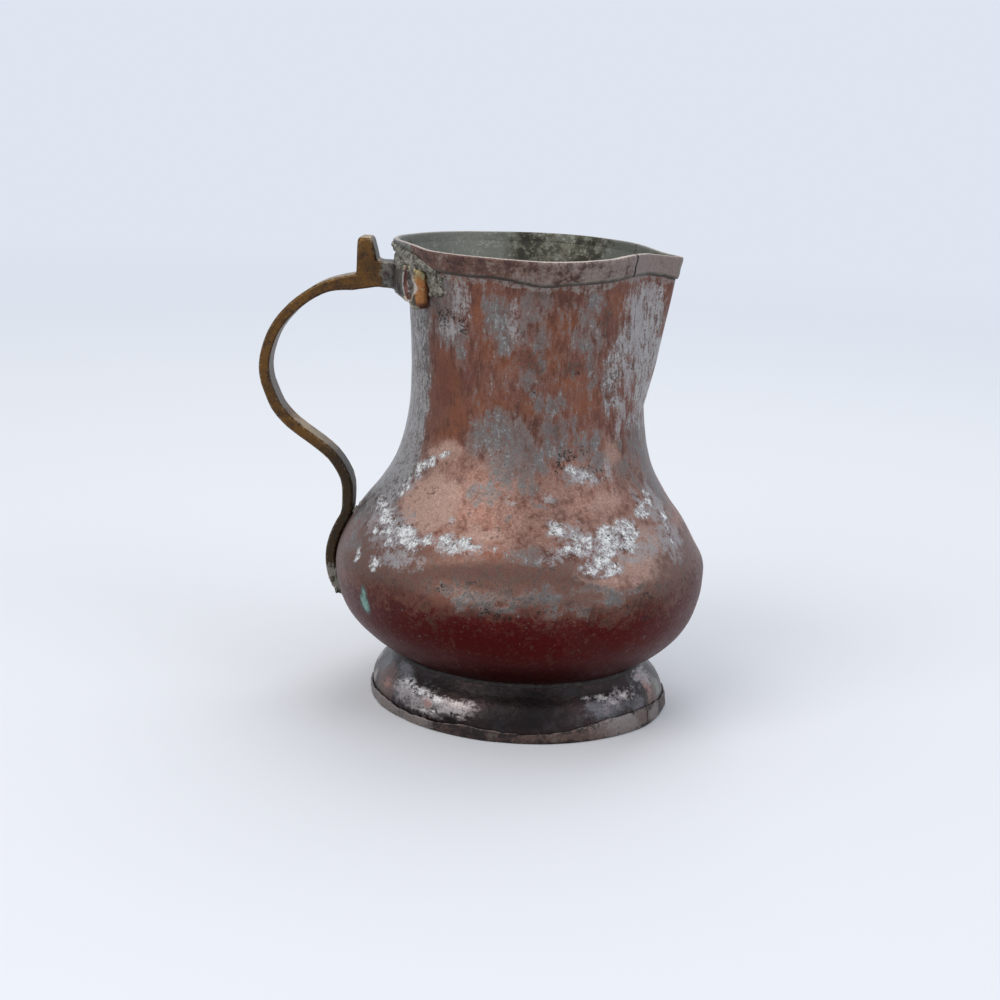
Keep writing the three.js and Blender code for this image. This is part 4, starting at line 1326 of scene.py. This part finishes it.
def wornCopper():
    f = Finish("wornCopper")
    t = linear(bodyTones)
    blotch = f.noise(21, 4, 0.6)
    mottle = f.noise(6.5, 6, 0.7, seed=3)
    mottle2 = f.noise(3.4, 5, 0.7, seed=8)
    fine = f.noise(1.5, 3, 0.7, seed=4)
    grain = f.noise(0.75, 2, 0.6, seed=5)
    dustGrain = f.noise(1.0, 4, 0.75, seed=6)
    streak = f.noise(3.0, 6, 0.74, stretch=(1, 1, 0.34), seed=7, twist=0.3)
    streak2 = f.noise(2.1, 5, 0.72, stretch=(1, 1, 0.32), seed=17, twist=0.3)
    neck = f.stretchTo(f.upright(), 0.112, 0.15)
    broken = f.layer(mottle, streak, f.reckon("MULTIPLY", neck, 0.85))
    broken2 = f.layer(mottle2, streak2, f.reckon("MULTIPLY", neck, 0.8))
    ragged = f.raggedBy(broken, broken2, fine)

    colour = f.layer(t["umber"], t["copper"], f.stretchTo(f.plus(blotch, broken, 1.3), 0.28, 0.6))
    colour = f.layer(colour, t["orange"], f.stretchTo(ragged("orange", 2.2, 1.0, 0.5), 0.1, 1.1, 0, 0.66))
    colour = f.layer(colour, t["red"], f.stretchTo(ragged("red", 2.2, 1.0, 0.5), 0.2, 1.1, 0, 0.7))
    middleGrey = f.stretchTo(f.plus(mottle, mottle2, 1.5), 0.48, 0.68, 0, 0.8)
    middle = f.layer(t["middle"], t["middleGrey"], middleGrey)
    colour = f.layer(colour, middle, f.stretchTo(ragged("mid", 2.0, 1.0, 0.4), 0.1, 0.9, 0, 0.85))
    # pale salmon of dust and painted sheen
    dustAndSheenShare = f.stretchTo(ragged("dust", 1.6, 0.8, 0.3), 0.05, 1.0, 0, 0.9)
    colour = f.layer(colour, t["dust"], dustAndSheenShare)
    dustAndSheenPale = f.stretchTo(f.plus(dustGrain, grain, 0.6), 0.52, 0.72, 0, 0.45)
    colour = f.layer(colour, t["dustAndSheenPale"], f.reckon("MULTIPLY", dustAndSheenShare, dustAndSheenPale))
    # painted shade: the copper darker towards the bottom, below about 86 mm
    colour = f.shade(colour, f.stretchTo(f.upright(), 0.073, 0.086, 0.76, 1))
    # red oxide of the lower belly with a painted reflection of dark red surroundings and painted shade
    lowColour = f.layer(t["low"], t["lowLight"], f.stretchTo(f.plus(mottle, blotch, 1.2), 0.46, 0.8, 0, 0.7))
    lowColour = f.layer(lowColour, t["lowPurple"], f.stretchTo(blotch, 0.48, 0.66, 0, 0.8))
    colour = f.layer(colour, lowColour, f.stretchTo(ragged("low", 2.6, 2.2, 1.2), 0.06, 0.94))
    veil = f.within("tin", f.stretchTo(ragged("tin", 2.6, 2.0, 1.0), 0.16, 1.0, 0, 0.8))
    colour = f.layer(colour, t["veil"], veil)
    tinColour = f.layer(t["tinWarm"], t["tinBlue"], f.stretchTo(f.plus(blotch, mottle2, 0.5), 0.44, 0.58))
    # paler tin, partly the painted side reflection
    paler = f.mixed(0.5, (broken2, 1.5), (fine, 1.1), (blotch, 0.5), (f.field("sideReflection"), 0.42))
    tinColour = f.layer(tinColour, t["tinPale"], f.stretchTo(paler, 0.4, 0.72, 0, 0.95))
    # painted shade: the tin darker lower down, below about 112 mm
    tinColour = f.shade(tinColour, f.stretchTo(f.upright(), 0.078, 0.112, 0.74, 1))
    core = f.within("tin", f.stretchTo(ragged("tin", 2.2, 2.8, 1.8), 0.5, 1.15, 0, 0.9))
    colour = f.layer(colour, tinColour, core)
    darker = f.stretchTo(f.mixed(0.5, (broken2, 1.5), (fine, 1.3), (broken, 1.4)), 0.54, 0.24, 0, 0.85)
    darker = f.reckon("MULTIPLY", darker, f.stretchTo(f.field("sideReflection"), 0, 1, 1, 0.3))
    colour = f.layer(colour, t["tinDark"], f.reckon("MULTIPLY", darker, core))
    lilac = f.within("lilac", f.stretchTo(ragged("lilac", 2.0, 2.6, 1.8), 0.3, 1.15, 0, 0.85))
    colour = f.layer(colour, t["lilac"], lilac)
    # brown smears, and painted shadow beside the saddle and below the belly's ridge
    stain = f.within("stain", f.stretchTo(ragged("stain", 2.8, 2.6, 2.2), 0.55, 1.15, 0, 0.55))
    colour = f.layer(colour, t["stain"], stain)

    halo = f.within("pale", f.stretchTo(ragged("pale", 2.0, 2.0, 1.2), 0.1, 0.8, 0, 0.85))
    colour = f.layer(colour, t["halo"], halo)
    paleShare = f.within("pale", f.stretchTo(ragged("pale", 2.2, 2.3, 2.2), 0.52, 1.12, 0, 0.97))
    colour = f.layer(colour, f.layer(t["whiteDull"], t["white"], f.stretchTo(mottle2, 0.42, 0.6)), paleShare)
    specks = f.plus(f.noise(1.3, 3, 0.62, seed=19), grain, 0.5)
    sooty = f.mixed(f.field("soot"), (specks, 4.6), (mottle2, 1.8))
    sootShare = f.within("soot", f.stretchTo(sooty, 0.98, 1.25, 0, 0.82))
    colour = f.layer(colour, t["soot"], sootShare)
    greenEdge = ragged("green", 1.4, 1.0, 0.8)
    colour = f.layer(colour, t["greenDull"], f.stretchTo(greenEdge, 0.15, 0.7, 0, 0.7))
    colour = f.layer(colour, t["green"], f.stretchTo(greenEdge, 0.55, 1.1, 0, 0.9))
    colour = f.layer(colour, t["crust"], f.stretchTo(ragged("crust", 2.0, 2.8, 2.2), 0.55, 1.2, 0, 0.85))
    # dirt and painted shadow under the strip
    colour = f.layer(colour, t["dirt"], f.stretchTo(ragged("dirt", 0.6, 0.6, 0.6), 0.3, 0.8, 0, 0.9))
    pitted = f.reckon("MAXIMUM", f.field("pale"), f.reckon("MULTIPLY", core, 0.5))
    pits = f.stretchTo(f.plus(specks, pitted, 0.17), 0.63, 0.7)
    colour = f.layer(colour, t["soot"], f.reckon("MULTIPLY", pits, 0.65))
    colour = f.shade(colour, f.stretchTo(f.plus(dustGrain, grain, 0.7), 0.3, 0.72, 0.86, 1.12))
    streaks = f.stretchTo(f.plus(streak2, streak, 0.7), 0.34, 0.66, 0.91, 1.07)
    colour = f.shade(colour, f.stretchTo(neck, 0, 1, 1, streaks))

    smoother = f.reckon("MAXIMUM", f.stretchTo(core, 0, 1, 0.45, 0.42), f.stretchTo(dustAndSheenShare, 0, 1, 0.4, 0.58))
    rough = f.plus(f.reckon("MAXIMUM", smoother, f.stretchTo(paleShare, 0, 1, 0.4, 0.8)), fine, 0.4)
    dull = f.reckon("MAXIMUM", paleShare, f.field("dirt"))
    dull = f.reckon("MAXIMUM", dull, f.reckon("MULTIPLY", dustAndSheenShare, 0.55))
    metallic = f.reckon("MULTIPLY_ADD", f.field("low"), 0.18, f.stretchTo(dull, 0, 1, 0.74, 0.08))
    level = f.reckon("MULTIPLY_ADD", paleShare, 1.2, f.reckon("MULTIPLY_ADD", core, 0.4, fine))
    level = f.reckon("SUBTRACT", level, f.reckon("MULTIPLY_ADD", pits, 1.0, sootShare))
    normal = f.relief(level, 0.08, f.relief(mottle, 0.3))
    return f.finish(colour, rough, metallic, normal)


insideTones = dict(
    tin=(112, 113, 103), olive=(92, 89, 74), dark=(42, 40, 33), pale=(152, 155, 144), rustAndShade=(84, 62, 48),
)


def oldTinInside():
    f = Finish("oldTinInside")
    t = linear(insideTones)
    blotch = f.noise(17, 5, 0.66, seed=11)
    mottle = f.noise(5.5, 4, 0.64, seed=12)
    grain = f.noise(1.2, 3, 0.65, seed=13)
    uneven = f.mixed(blotch, (mottle, 1.0), (f.field("olive"), -0.34))
    colour = f.layer(t["olive"], t["tin"], f.stretchTo(uneven, 0.28, 0.62))
    colour = f.layer(colour, t["pale"], f.stretchTo(f.plus(mottle, grain, 0.8), 0.52, 0.76, 0, 0.75))
    colour = f.layer(colour, t["rustAndShade"], f.stretchTo(blotch, 0.42, 0.3, 0, 0.5))
    darkest = f.mixed(mottle, (grain, 0.4), (blotch, 0.9), (f.field("olive"), -0.22))
    colour = f.layer(colour, t["dark"], f.stretchTo(darkest, 0.44, 0.26, 0, 0.85))
    metallic, normal = f.stretchTo(mottle, 0.3, 0.7, 0.5, 0.7), f.relief(mottle, 0.4, f.relief(grain, 0.12))
    return f.finish(colour, f.plus(0.5, mottle, 0.4), metallic, normal)


stripTones = dict(
    copper=(100, 74, 65), maroon=(72, 50, 46), grey=(144, 133, 126), pink=(134, 98, 84), edge=(178, 163, 150),
    dirt=(30, 24, 20), green=(92, 96, 84), tin=(124, 124, 116),
)


def stripMetal(name, greyness):  # the lip's strip has gone greyer than the rim's
    f = Finish(name)
    t = linear(stripTones)
    blotch = f.noise(10, 4, 0.62, seed=21)
    mottle = f.noise(4.0, 5, 0.7, seed=22)
    fine = f.noise(1.3, 3, 0.65, seed=24)
    streak = f.noise(1.9, 3, 0.65, stretch=(1, 1, 0.3), seed=23)
    colour = f.layer(t["maroon"], t["copper"], f.stretchTo(f.plus(blotch, mottle, 0.9), 0.3, 0.54))
    colour = f.layer(colour, t["pink"], f.stretchTo(f.plus(mottle, fine, 0.5), 0.42, 0.76, 0, 0.5))
    greyer = f.reckon("MULTIPLY", f.field("greyer"), 0.5)
    greyer = f.mixed(greyer, (blotch, 1.8), (mottle, 1.4), (fine, 0.5), (streak, 0.5))
    greyShare = f.stretchTo(greyer, 0.06 - greyness, 0.62 - greyness, 0, 0.74)
    colour = f.layer(colour, t["grey"], greyShare)
    colour = f.layer(colour, t["green"], f.stretchTo(f.plus(f.field("foot"), blotch, 1.2), 0.6, 1.1, 0, 0.5))
    colour = f.layer(colour, t["dirt"], f.stretchTo(f.plus(f.field("foot"), mottle, 1.1), 0.7, 1.2, 0, 0.7))
    tinned = f.mixed(f.field("tinned"), (mottle, 0.9), (fine, 0.7))
    colour = f.layer(colour, t["tin"], f.stretchTo(tinned, 0.35, 0.7))
    dirtOnTin = f.stretchTo(f.plus(mottle, fine, 1.1), 0.5, 0.34, 0, 0.8)
    colour = f.layer(colour, t["dirt"], f.reckon("MULTIPLY", f.stretchTo(tinned, 0.4, 0.8), dirtOnTin))
    # painted highlight on the crest
    colour = f.layer(colour, t["edge"], f.stretchTo(f.plus(f.field("crest"), fine, 0.9), 0.5, 0.9, 0, 0.85))
    colour = f.layer(colour, t["dirt"], f.stretchTo(f.plus(f.field("joint"), fine, 0.9), 0.35, 0.8, 0, 0.9))
    colour = f.shade(colour, f.stretchTo(fine, 0.3, 0.7, 0.82, 1.15))
    metallic, normal = f.stretchTo(mottle, 0.3, 0.7, 0.5, 0.75), f.relief(mottle, 0.3, f.relief(fine, 0.12))
    return f.finish(colour, f.plus(0.44, fine, 0.5), metallic, normal)


def paintStrip(piece):
    places = placesOf(piece)
    azimuth = np.degrees(np.arctan2(places[:, 1], places[:, 0] - shiftAt(places[:, 2])))
    rise = places[:, 2] - rimLift(azimuth, places[:, 2])
    flat = eased(rowsOf(piece.data, "normal")[:, 2], 0.35, 0.8)
    # painted highlight along the fold's upward-facing crest
    paintField(piece, "crest", eased(rise, 234.1, 234.7) * flat)
    paintField(piece, "foot", 1 - eased(rise - stripBottom(azimuth), 0.1, 2.2))
    paintField(piece, "tinned", 1 - eased(180 - np.abs(azimuth), 30, 44))
    paintField(piece, "greyer", eased(azimuth, -108, -50) * (1 - 0.8 * eased(azimuth, 30, 60)))
    fromJoint = np.abs(np.abs(azimuth) - strips["jointDegrees"]) * math.radians(strips["jointRadius"])
    paintField(piece, "joint", 1 - eased(fromJoint, 0.3, 1.3))
    paintField(piece, "olive", oliveInside(azimuth))


footTones = dict(
    dark=(44, 32, 31), grey=(88, 86, 88), brown=(100, 80, 74), bright=(214, 210, 206), dull=(160, 151, 149),
    pink=(158, 116, 106), lilac=(112, 102, 106), soot=(24, 19, 19), green=(124, 138, 126),
)
footPatches = dict(
    # bright tin scuffs, partly a painted highlight on the collar's upward-facing band
    bright=[
        (-137, 17, 5, 3), (-129, 16, 6, 3), (-121, 15.5, 6, 2.0, -0.1), (-50, 19, 8, 1.4),
        (-36, 18, 2.6, 1.3), (-122, 9, 6, 1.4),
    ],
    dull=[
        (-137, 15, 7, 5), (-126, 13.5, 9, 5.5), (-112, 13, 10, 4.2), (-17, 21, 8, 3.5), (-168, 9, 3, 5),
        (-124, 8.5, 9, 2.5), (-39, 17.5, 9, 2.6),
    ],
    grey=[
        (-142, 21, 9, 4), (-46, 14, 13, 6), (-30, 12, 6, 4), (-138, 12, 14, 6), (-160, 18, 9, 6),
    ],
    brown=[
        (-152, 12, 10, 8), (-12, 11, 11, 9),
    ],
    pink=[
        (-123, 11.5, 2.2, 3), (-152, 12, 4, 3), (-19, 17, 2.5, 5),
    ],
    green=[
        (-8, 12, 4, 6),
    ],
    # dark patches; those at 22 mm under the belly's overhang and the wide one at the middle front are painted
    # shadow of the belly
    soot=[
        (-112, 7.5, 7, 2), (-62, 22, 12, 3), (-90, 22, 30, 3), (-120, 22, 20, 3), (-84, 13, 20, 8),
    ],
)
farFootPatches = [
    ("grey", 111, 14, farSide, (6, 22), (5, 14), (2, 5)),
    ("dull", 112, 9, farSide, (8, 20), (4, 9), (1.5, 4)),
    ("bright", 115, 5, farSide, (10, 19), (3, 6), (0.8, 2)),
    ("brown", 113, 8, farSide, (6, 20), (5, 12), (3, 7)),
    ("pink", 114, 4, farSide, (8, 16), (2, 5), (2, 4)),
]
footEdges = dict(
    bright=(301, 0.5, 2.5), dull=(306, 0.7), grey=(311,), brown=(321,), pink=(341, 0.5), green=(346, 0.5),
    soot=(331, 0.8),
)


def footMetal():
    f = Finish("tinnedFoot")
    t = linear(footTones)
    blotch = f.noise(12, 4, 0.6, seed=31)
    mottle = f.noise(3.8, 4, 0.66, seed=32)
    fine = f.noise(1.3, 3, 0.65, seed=33)
    along = f.noise(1.8, 3, 0.62, stretch=(0.25, 0.25, 1), seed=34)
    ragged = f.raggedBy(mottle, fine)

    # the dark base stands partly for painted shade under the belly
    colour = f.layer(t["dark"], t["grey"], f.stretchTo(f.plus(blotch, mottle, 0.6), 0.5, 0.8, 0, 0.6))
    colour = f.layer(colour, t["grey"], f.stretchTo(ragged("grey", 1.2, 0.6), 0.3, 0.9))
    lilac = f.stretchTo(f.plus(f.field("grey"), along, 2.2), 0.75, 1.25, 0, 0.75)
    colour = f.layer(colour, t["lilac"], lilac)
    colour = f.layer(colour, t["brown"], f.stretchTo(ragged("brown", 1.3, 0.7), 0.35, 0.9))
    dullShare = f.stretchTo(f.plus(ragged("dull", 2.2, 1.0), along, 1.6), 0.25, 1.0, 0, 0.9)
    colour = f.layer(colour, t["dull"], f.within("dull", dullShare, 0.2))
    # bright scuffs, partly painted highlight
    brightShare = f.stretchTo(f.plus(ragged("bright", 2.2, 1.0), along, 2.0), 0.5, 1.3)
    brightShare = f.within("bright", brightShare, 0.2)
    colour = f.layer(colour, t["bright"], brightShare)
    pinkShare = f.stretchTo(f.plus(ragged("pink", 2.6, 1.6), along, 1.6), 0.3, 1.1, 0, 0.65)
    colour = f.layer(colour, t["pink"], f.within("pink", pinkShare, 0.2))
    greenShare = f.stretchTo(ragged("green", 1.8, 0.8), 0.3, 1.0, 0, 0.7)
    colour = f.layer(colour, t["green"], f.within("green", greenShare, 0.2))
    # dark patches, partly painted shadow under the belly
    colour = f.layer(colour, t["soot"], f.stretchTo(ragged("soot", 1.3, 0.6), 0.35, 0.9, 0, 0.85))
    colour = f.shade(colour, f.stretchTo(fine, 0.3, 0.7, 0.82, 1.15))
    rough = f.plus(f.stretchTo(brightShare, 0, 1, 0.36, 0.46), mottle, 0.4)
    metallic, normal = f.stretchTo(brightShare, 0, 1, 0.75, 0.6), f.relief(fine, 0.1, f.relief(mottle, 0.4))
    return f.finish(colour, rough, metallic, normal)


hemTones = dict(
    copper=(88, 70, 65), dark=(46, 38, 37), edge=(132, 118, 112), grey=(140, 130, 126), brown=(104, 84, 76),
    green=(98, 106, 92),
)
hemPatches = dict(
    grey=[(-152, 3, 20, 6), (-130, 3, 10, 6), (-42, 5, 16, 5), (-20, 4, 6, 4)],
    brown=[(-58, 3, 14, 4), (-30, 6, 5, 5), (-70, 3, 20, 3)],
)
farHemPatches = [
    ("grey", 121, 9, farSide, (1, 6), (6, 16), (2, 5)),
    ("brown", 122, 9, farSide, (1, 6), (6, 16), (2, 5)),
]
hemEdges = dict(grey=(351,), brown=(361,))


def paintHem(piece):
    places = placesOf(piece)
    azimuth = np.degrees(np.arctan2(places[:, 1], places[:, 0] - form["footShift"]))
    # painted highlight along the hem's top edge
    paintField(piece, "crest", eased(places[:, 2] - hemTop(azimuth), -1.2, -0.1))
    paintPatches(piece, hemPatches, hemEdges)


def hemMetal():
    f = Finish("footEdgeCopper")
    t = linear(hemTones)
    blotch = f.noise(8, 4, 0.6, seed=41)
    mottle = f.noise(3, 4, 0.66, seed=42)
    fine = f.noise(1.2, 3, 0.65, seed=43)
    ragged = f.raggedBy(mottle, fine)

    colour = f.layer(t["dark"], t["copper"], f.stretchTo(f.plus(blotch, mottle, 0.9), 0.42, 0.68))
    colour = f.layer(colour, t["grey"], f.stretchTo(ragged("grey", 1.6, 0.8), 0.2, 0.8, 0, 0.92))
    colour = f.layer(colour, t["brown"], f.stretchTo(ragged("brown", 1.6, 0.8), 0.35, 0.95, 0, 0.75))
    colour = f.layer(colour, t["green"], f.stretchTo(f.plus(blotch, fine, 0.6), 0.6, 0.74, 0, 0.4))
    # painted highlight on the hem's top edge
    colour = f.layer(colour, t["edge"], f.stretchTo(ragged("crest", 1.0, 0.8), 0.7, 1.2, 0, 0.6))
    colour = f.shade(colour, f.stretchTo(fine, 0.3, 0.7, 0.82, 1.15))
    metallic, normal = f.stretchTo(mottle, 0.3, 0.7, 0.5, 0.7), f.relief(mottle, 0.35)
    return f.finish(colour, f.plus(0.48, fine, 0.4), metallic, normal)


brassTones = dict(
    brass=(102, 72, 36), brown=(78, 54, 31), dark=(46, 34, 26), pale=(196, 178, 146), red=(84, 52, 40),
    black=(40, 35, 28), grey=(128, 124, 116), inner=(112, 106, 99), web=(102, 99, 90), webDark=(64, 58, 58),
    worn=(156, 104, 62), wornShadeTone=(98, 60, 44), wornGreen=(132, 126, 92), rustAndShade=(84, 46, 40),
    hollow=(70, 62, 60),
    hollowPale=(132, 126, 120), rim=(190, 184, 176),
)


def paintHandle(piece):
    h = handleForm
    places = placesOf(piece)
    x, y, z = places.T
    radius, degrees, _, _ = saddlePlaces(places)
    outer = h["saddleRadius"] + h["thickness"]
    nearNeck = (1 - eased(radius - outer, 4, 11)) * eased(z, 196, 203)
    fromEnd = (h["endDegrees"] - degrees) * (math.radians(1) * outer) - 0.1 * (z - h["saddleMiddle"])
    worn = nearNeck * (1 - eased(fromEnd, 2.2, 3.4)) * (degrees > 20)
    paintField(piece, "web", nearNeck * (1 - worn))
    paintField(piece, "worn", worn)
    # painted shade: darker at the end bar's foot and where it meets the neck
    root = 1 - eased(radius, h["saddleRadius"] + 0.6, h["saddleRadius"] + 3)
    paintField(piece, "wornLow", worn * np.maximum(1 - eased(z, 206, 212), root))
    paintField(piece, "wornHigh", worn * eased(z, 213, 225))
    aboveEdge = z - h["saddleLow"] - lowEdgeRise(degrees)
    # painted highlight along the saddle's lower edge
    lowEdge = nearNeck * (degrees > 22) * (1 - eased(degrees, 39, 41)) * (1 - eased(aboveEdge, 1.4, 3.2))
    paintField(piece, "lowEdge", lowEdge)
    share = pocketShare(degrees, z)
    inPocket = nearNeck * (degrees > 18) * (radius > h["saddleRadius"] + 2)
    paintField(piece, "pocket", inPocket * (1 - eased(share, 0.7, 1.05)))
    paintField(piece, "pocketEdge", inPocket * np.exp(-(((share - 1.15) / 0.22) ** 2)))
    # the near side and foot of the almond hollow: rust, darkened as painted shade
    nearHalf = inPocket * (1 - eased(share, 0.9, 1.1)) * (degrees < h["pocketDegrees"])
    rustAndShadeSpread = np.maximum(eased(share, 0.62, 0.85), 1 - eased(z, 209.5, 213.5))
    paintField(piece, "rustSide", nearHalf * rustAndShadeSpread)
    bellyBack = shiftAt(z) - bodyRadius(np.clip(z, 60, 235))
    paintField(piece, "tail", (1 - eased(z, 60, 70)) * (1 - eased(bellyBack - x, 8, 14)))
    # the strap darker towards its lower end, below about 112 to 142 mm
    paintField(piece, "blackened", 1 - eased(z + 5 * roughly(places, 12, 291), 112, 142))
    along, across, up = rowsOf(piece.data, "normal").T
    # painted highlight on faces that look up
    paintField(piece, "topFace", eased(up, 0.45, 0.9) * (1 - nearNeck))
    paintField(piece, "innerFace", eased(along, 0.5, 0.9) * (1 - nearNeck))
    # painted shade: red-brown on faces that look down
    paintField(piece, "under", eased(-up, 0.2, 0.8))


def castBrass():
    f = Finish("castBrass")
    t = linear(brassTones)
    blotch = f.noise(13, 4, 0.6, seed=51)
    mottle = f.noise(3.4, 4, 0.66, seed=52)
    fine = f.noise(1.2, 3, 0.65, seed=53)
    wearAndEdgeLight = f.field("wearAndEdgeLight")
    ragged = f.raggedBy(mottle, fine)

    colour = f.layer(t["brown"], t["brass"], f.stretchTo(f.plus(blotch, mottle, 0.6), 0.34, 0.6))
    colour = f.layer(colour, t["dark"], f.stretchTo(f.plus(mottle, fine, 0.9), 0.42, 0.26, 0, 0.7))
    # painted shade on the faces that look down
    colour = f.layer(colour, t["red"], f.stretchTo(ragged("under", 0.9, 0.4), 0.3, 0.9, 0, 0.75))
    # painted highlight on the faces that look up
    colour = f.layer(colour, t["pale"], f.stretchTo(ragged("topFace", 1.4, 0.8), 0.5, 1.0, 0, 0.45))
    colour = f.layer(colour, t["inner"], f.stretchTo(ragged("innerFace", 0.8, 0.5), 0.45, 0.9, 0, 0.7))
    colour = f.layer(colour, t["black"], f.stretchTo(ragged("blackened", 0.8, 0.4), 0.3, 0.9, 0, 0.8))
    web = f.layer(t["webDark"], t["web"], f.stretchTo(f.plus(blotch, mottle, 1.2), 0.4, 0.6))
    colour = f.layer(colour, web, f.within("web", f.stretchTo(ragged("web", 2.6, 1.2), 0.2, 0.8)))
    # painted shade at the bar's foot and root
    wornColour = f.layer(t["worn"], t["wornShadeTone"], f.stretchTo(ragged("wornLow", 1.4, 0.6), 0.3, 0.9))
    wornColour = f.layer(wornColour, t["wornGreen"], f.stretchTo(ragged("wornHigh", 2.4, 1.2), 0.3, 1.0))
    wornColour = f.layer(wornColour, t["pale"], f.stretchTo(f.plus(mottle, fine, 0.9), 0.5, 0.74, 0, 0.25))
    colour = f.layer(colour, wornColour, f.stretchTo(ragged("worn", 1.4, 0.6), 0.2, 0.9))
    hollow = f.layer(t["hollow"], t["hollowPale"], f.stretchTo(f.plus(mottle, fine, 1.0), 0.44, 0.62))
    colour = f.layer(colour, hollow, f.stretchTo(ragged("pocket", 0.5, 0.4), 0.4, 0.7))
    # rust with painted shade in the hollow's near side and foot
    colour = f.layer(colour, t["rustAndShade"], f.stretchTo(ragged("rustSide", 0.8, 0.4), 0.45, 0.8, 0, 0.9))
    colour = f.layer(colour, t["rim"], f.stretchTo(ragged("pocketEdge", 0.9, 0.5), 0.45, 0.9, 0, 0.8))
    # painted highlight on the saddle's lower edge
    lowEdge = f.stretchTo(ragged("lowEdge", 1.4, 0.8), 0.35, 0.9, 0, 0.8)
    colour = f.layer(colour, t["rim"], f.within("lowEdge", lowEdge))
    tail = f.stretchTo(ragged("tail", 2.6, 1.4), 0.2, 0.9, 0, 0.85)
    colour = f.layer(colour, t["grey"], f.within("tail", tail))
    # darker in hollows
    colour = f.layer(colour, t["dark"], f.stretchTo(wearAndEdgeLight, 0.42, 0.2, 0, 0.8))
    # pale on outward edges: rubbed brass with a painted highlight
    colour = f.layer(colour, t["pale"], f.stretchTo(f.plus(wearAndEdgeLight, fine, 0.5), 0.64, 0.95, 0, 0.75))
    colour = f.shade(colour, f.stretchTo(fine, 0.3, 0.7, 0.85, 1.12))
    rough = f.plus(f.stretchTo(wearAndEdgeLight, 0.5, 0.9, 0.46, 0.32), fine, 0.35)
    metallic, normal = f.stretchTo(mottle, 0.3, 0.7, 0.65, 0.85), f.relief(fine, 0.08, f.relief(mottle, 0.3))
    return f.finish(colour, rough, metallic, normal)


solderTones = dict(grey=(146, 142, 132), dark=(60, 56, 48), pale=(196, 192, 184), green=(116, 116, 104))


def porousSolder():
    f = Finish("porousSolder")
    t = linear(solderTones)
    blotch = f.noise(7, 4, 0.65, seed=61)
    mottle = f.noise(2.2, 4, 0.65, seed=62)
    grain = f.noise(0.7, 3, 0.6, seed=63)
    colour = f.layer(t["green"], t["grey"], f.stretchTo(blotch, 0.4, 0.6))
    speckled = f.plus(mottle, grain, 0.9)
    colour = f.layer(colour, t["dark"], f.stretchTo(f.plus(speckled, blotch, 0.6), 0.52, 0.36, 0, 0.85))
    colour = f.layer(colour, t["pale"], f.stretchTo(speckled, 0.6, 0.74, 0, 0.9))
    metallic, normal = f.stretchTo(mottle, 0.3, 0.7, 0.2, 0.5), f.relief(grain, 0.15, f.relief(mottle, 0.4))
    return f.finish(colour, f.plus(0.68, grain, 0.3), metallic, normal)


beadTones = dict(dark=(40, 33, 31), grey=(74, 70, 66))


# the bead is coloured dark for the shade in the corner under the belly: painted shade
def shadedBead():
    f = Finish("shadedBead")
    t = linear(beadTones)
    mottle = f.noise(3, 4, 0.65, seed=66)
    colour = f.layer(t["dark"], t["grey"], f.stretchTo(mottle, 0.45, 0.7))
    metallic, normal = f.stretchTo(mottle, 0.3, 0.7, 0.3, 0.5), f.relief(mottle, 0.5)
    return f.finish(colour, f.plus(0.6, mottle, 0.4), metallic, normal)


brazeTones = dict(yellow=(112, 92, 56), brown=(72, 58, 42))


def brazeMetal():
    f = Finish("seamBraze")
    t = linear(brazeTones)
    mottle = f.noise(2.5, 4, 0.6, seed=71)
    colour = f.layer(t["brown"], t["yellow"], f.stretchTo(mottle, 0.4, 0.62))
    metallic, normal = f.stretchTo(mottle, 0.3, 0.7, 0.6, 0.9), f.relief(mottle, 0.4)
    return f.finish(colour, f.plus(0.5, mottle, 0.4), metallic, normal)


copperFinish, insideFinish = wornCopper(), oldTinInside()
dress(upperBody, copperFinish, insideFinish)
dress(lowerBowl, copperFinish, insideFinish)
paintStrip(rimStrip)
paintStrip(lipStrip)
dress(rimStrip, stripMetal("mouthStripCopper", 0.05), insideFinish)
dress(lipStrip, stripMetal("lipStripCopper", 0.24), insideFinish)
strewOver(footPatches, farFootPatches)
paintPatches(collar, footPatches, footEdges)
dress(collar, footMetal(), insideFinish)
strewOver(hemPatches, farHemPatches)
paintHem(edgeFold)
dress(edgeFold, hemMetal())
paintHandle(handlePiece)
dress(handlePiece, castBrass())
solderFinish = porousSolder()
dress(neckSolder, solderFinish)
dress(tailSolder, solderFinish)
dress(bead, shadedBead())
dress(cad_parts["belly_braze"], brazeMetal())
print("finishes made")

seat(upperBody, "upper_body")
seat(lowerBowl, "lower_bowl")
seat(rimStrip, "rim_band")
seat(lipStrip, "lip_band")
seat(collar, "foot_ring")
seat(edgeFold, "foot_hem")
seat(bead, "foot_solder")
seat(handlePiece, "handle")
seat(neckSolder, "upper_solder")
seat(tailSolder, "lower_solder")
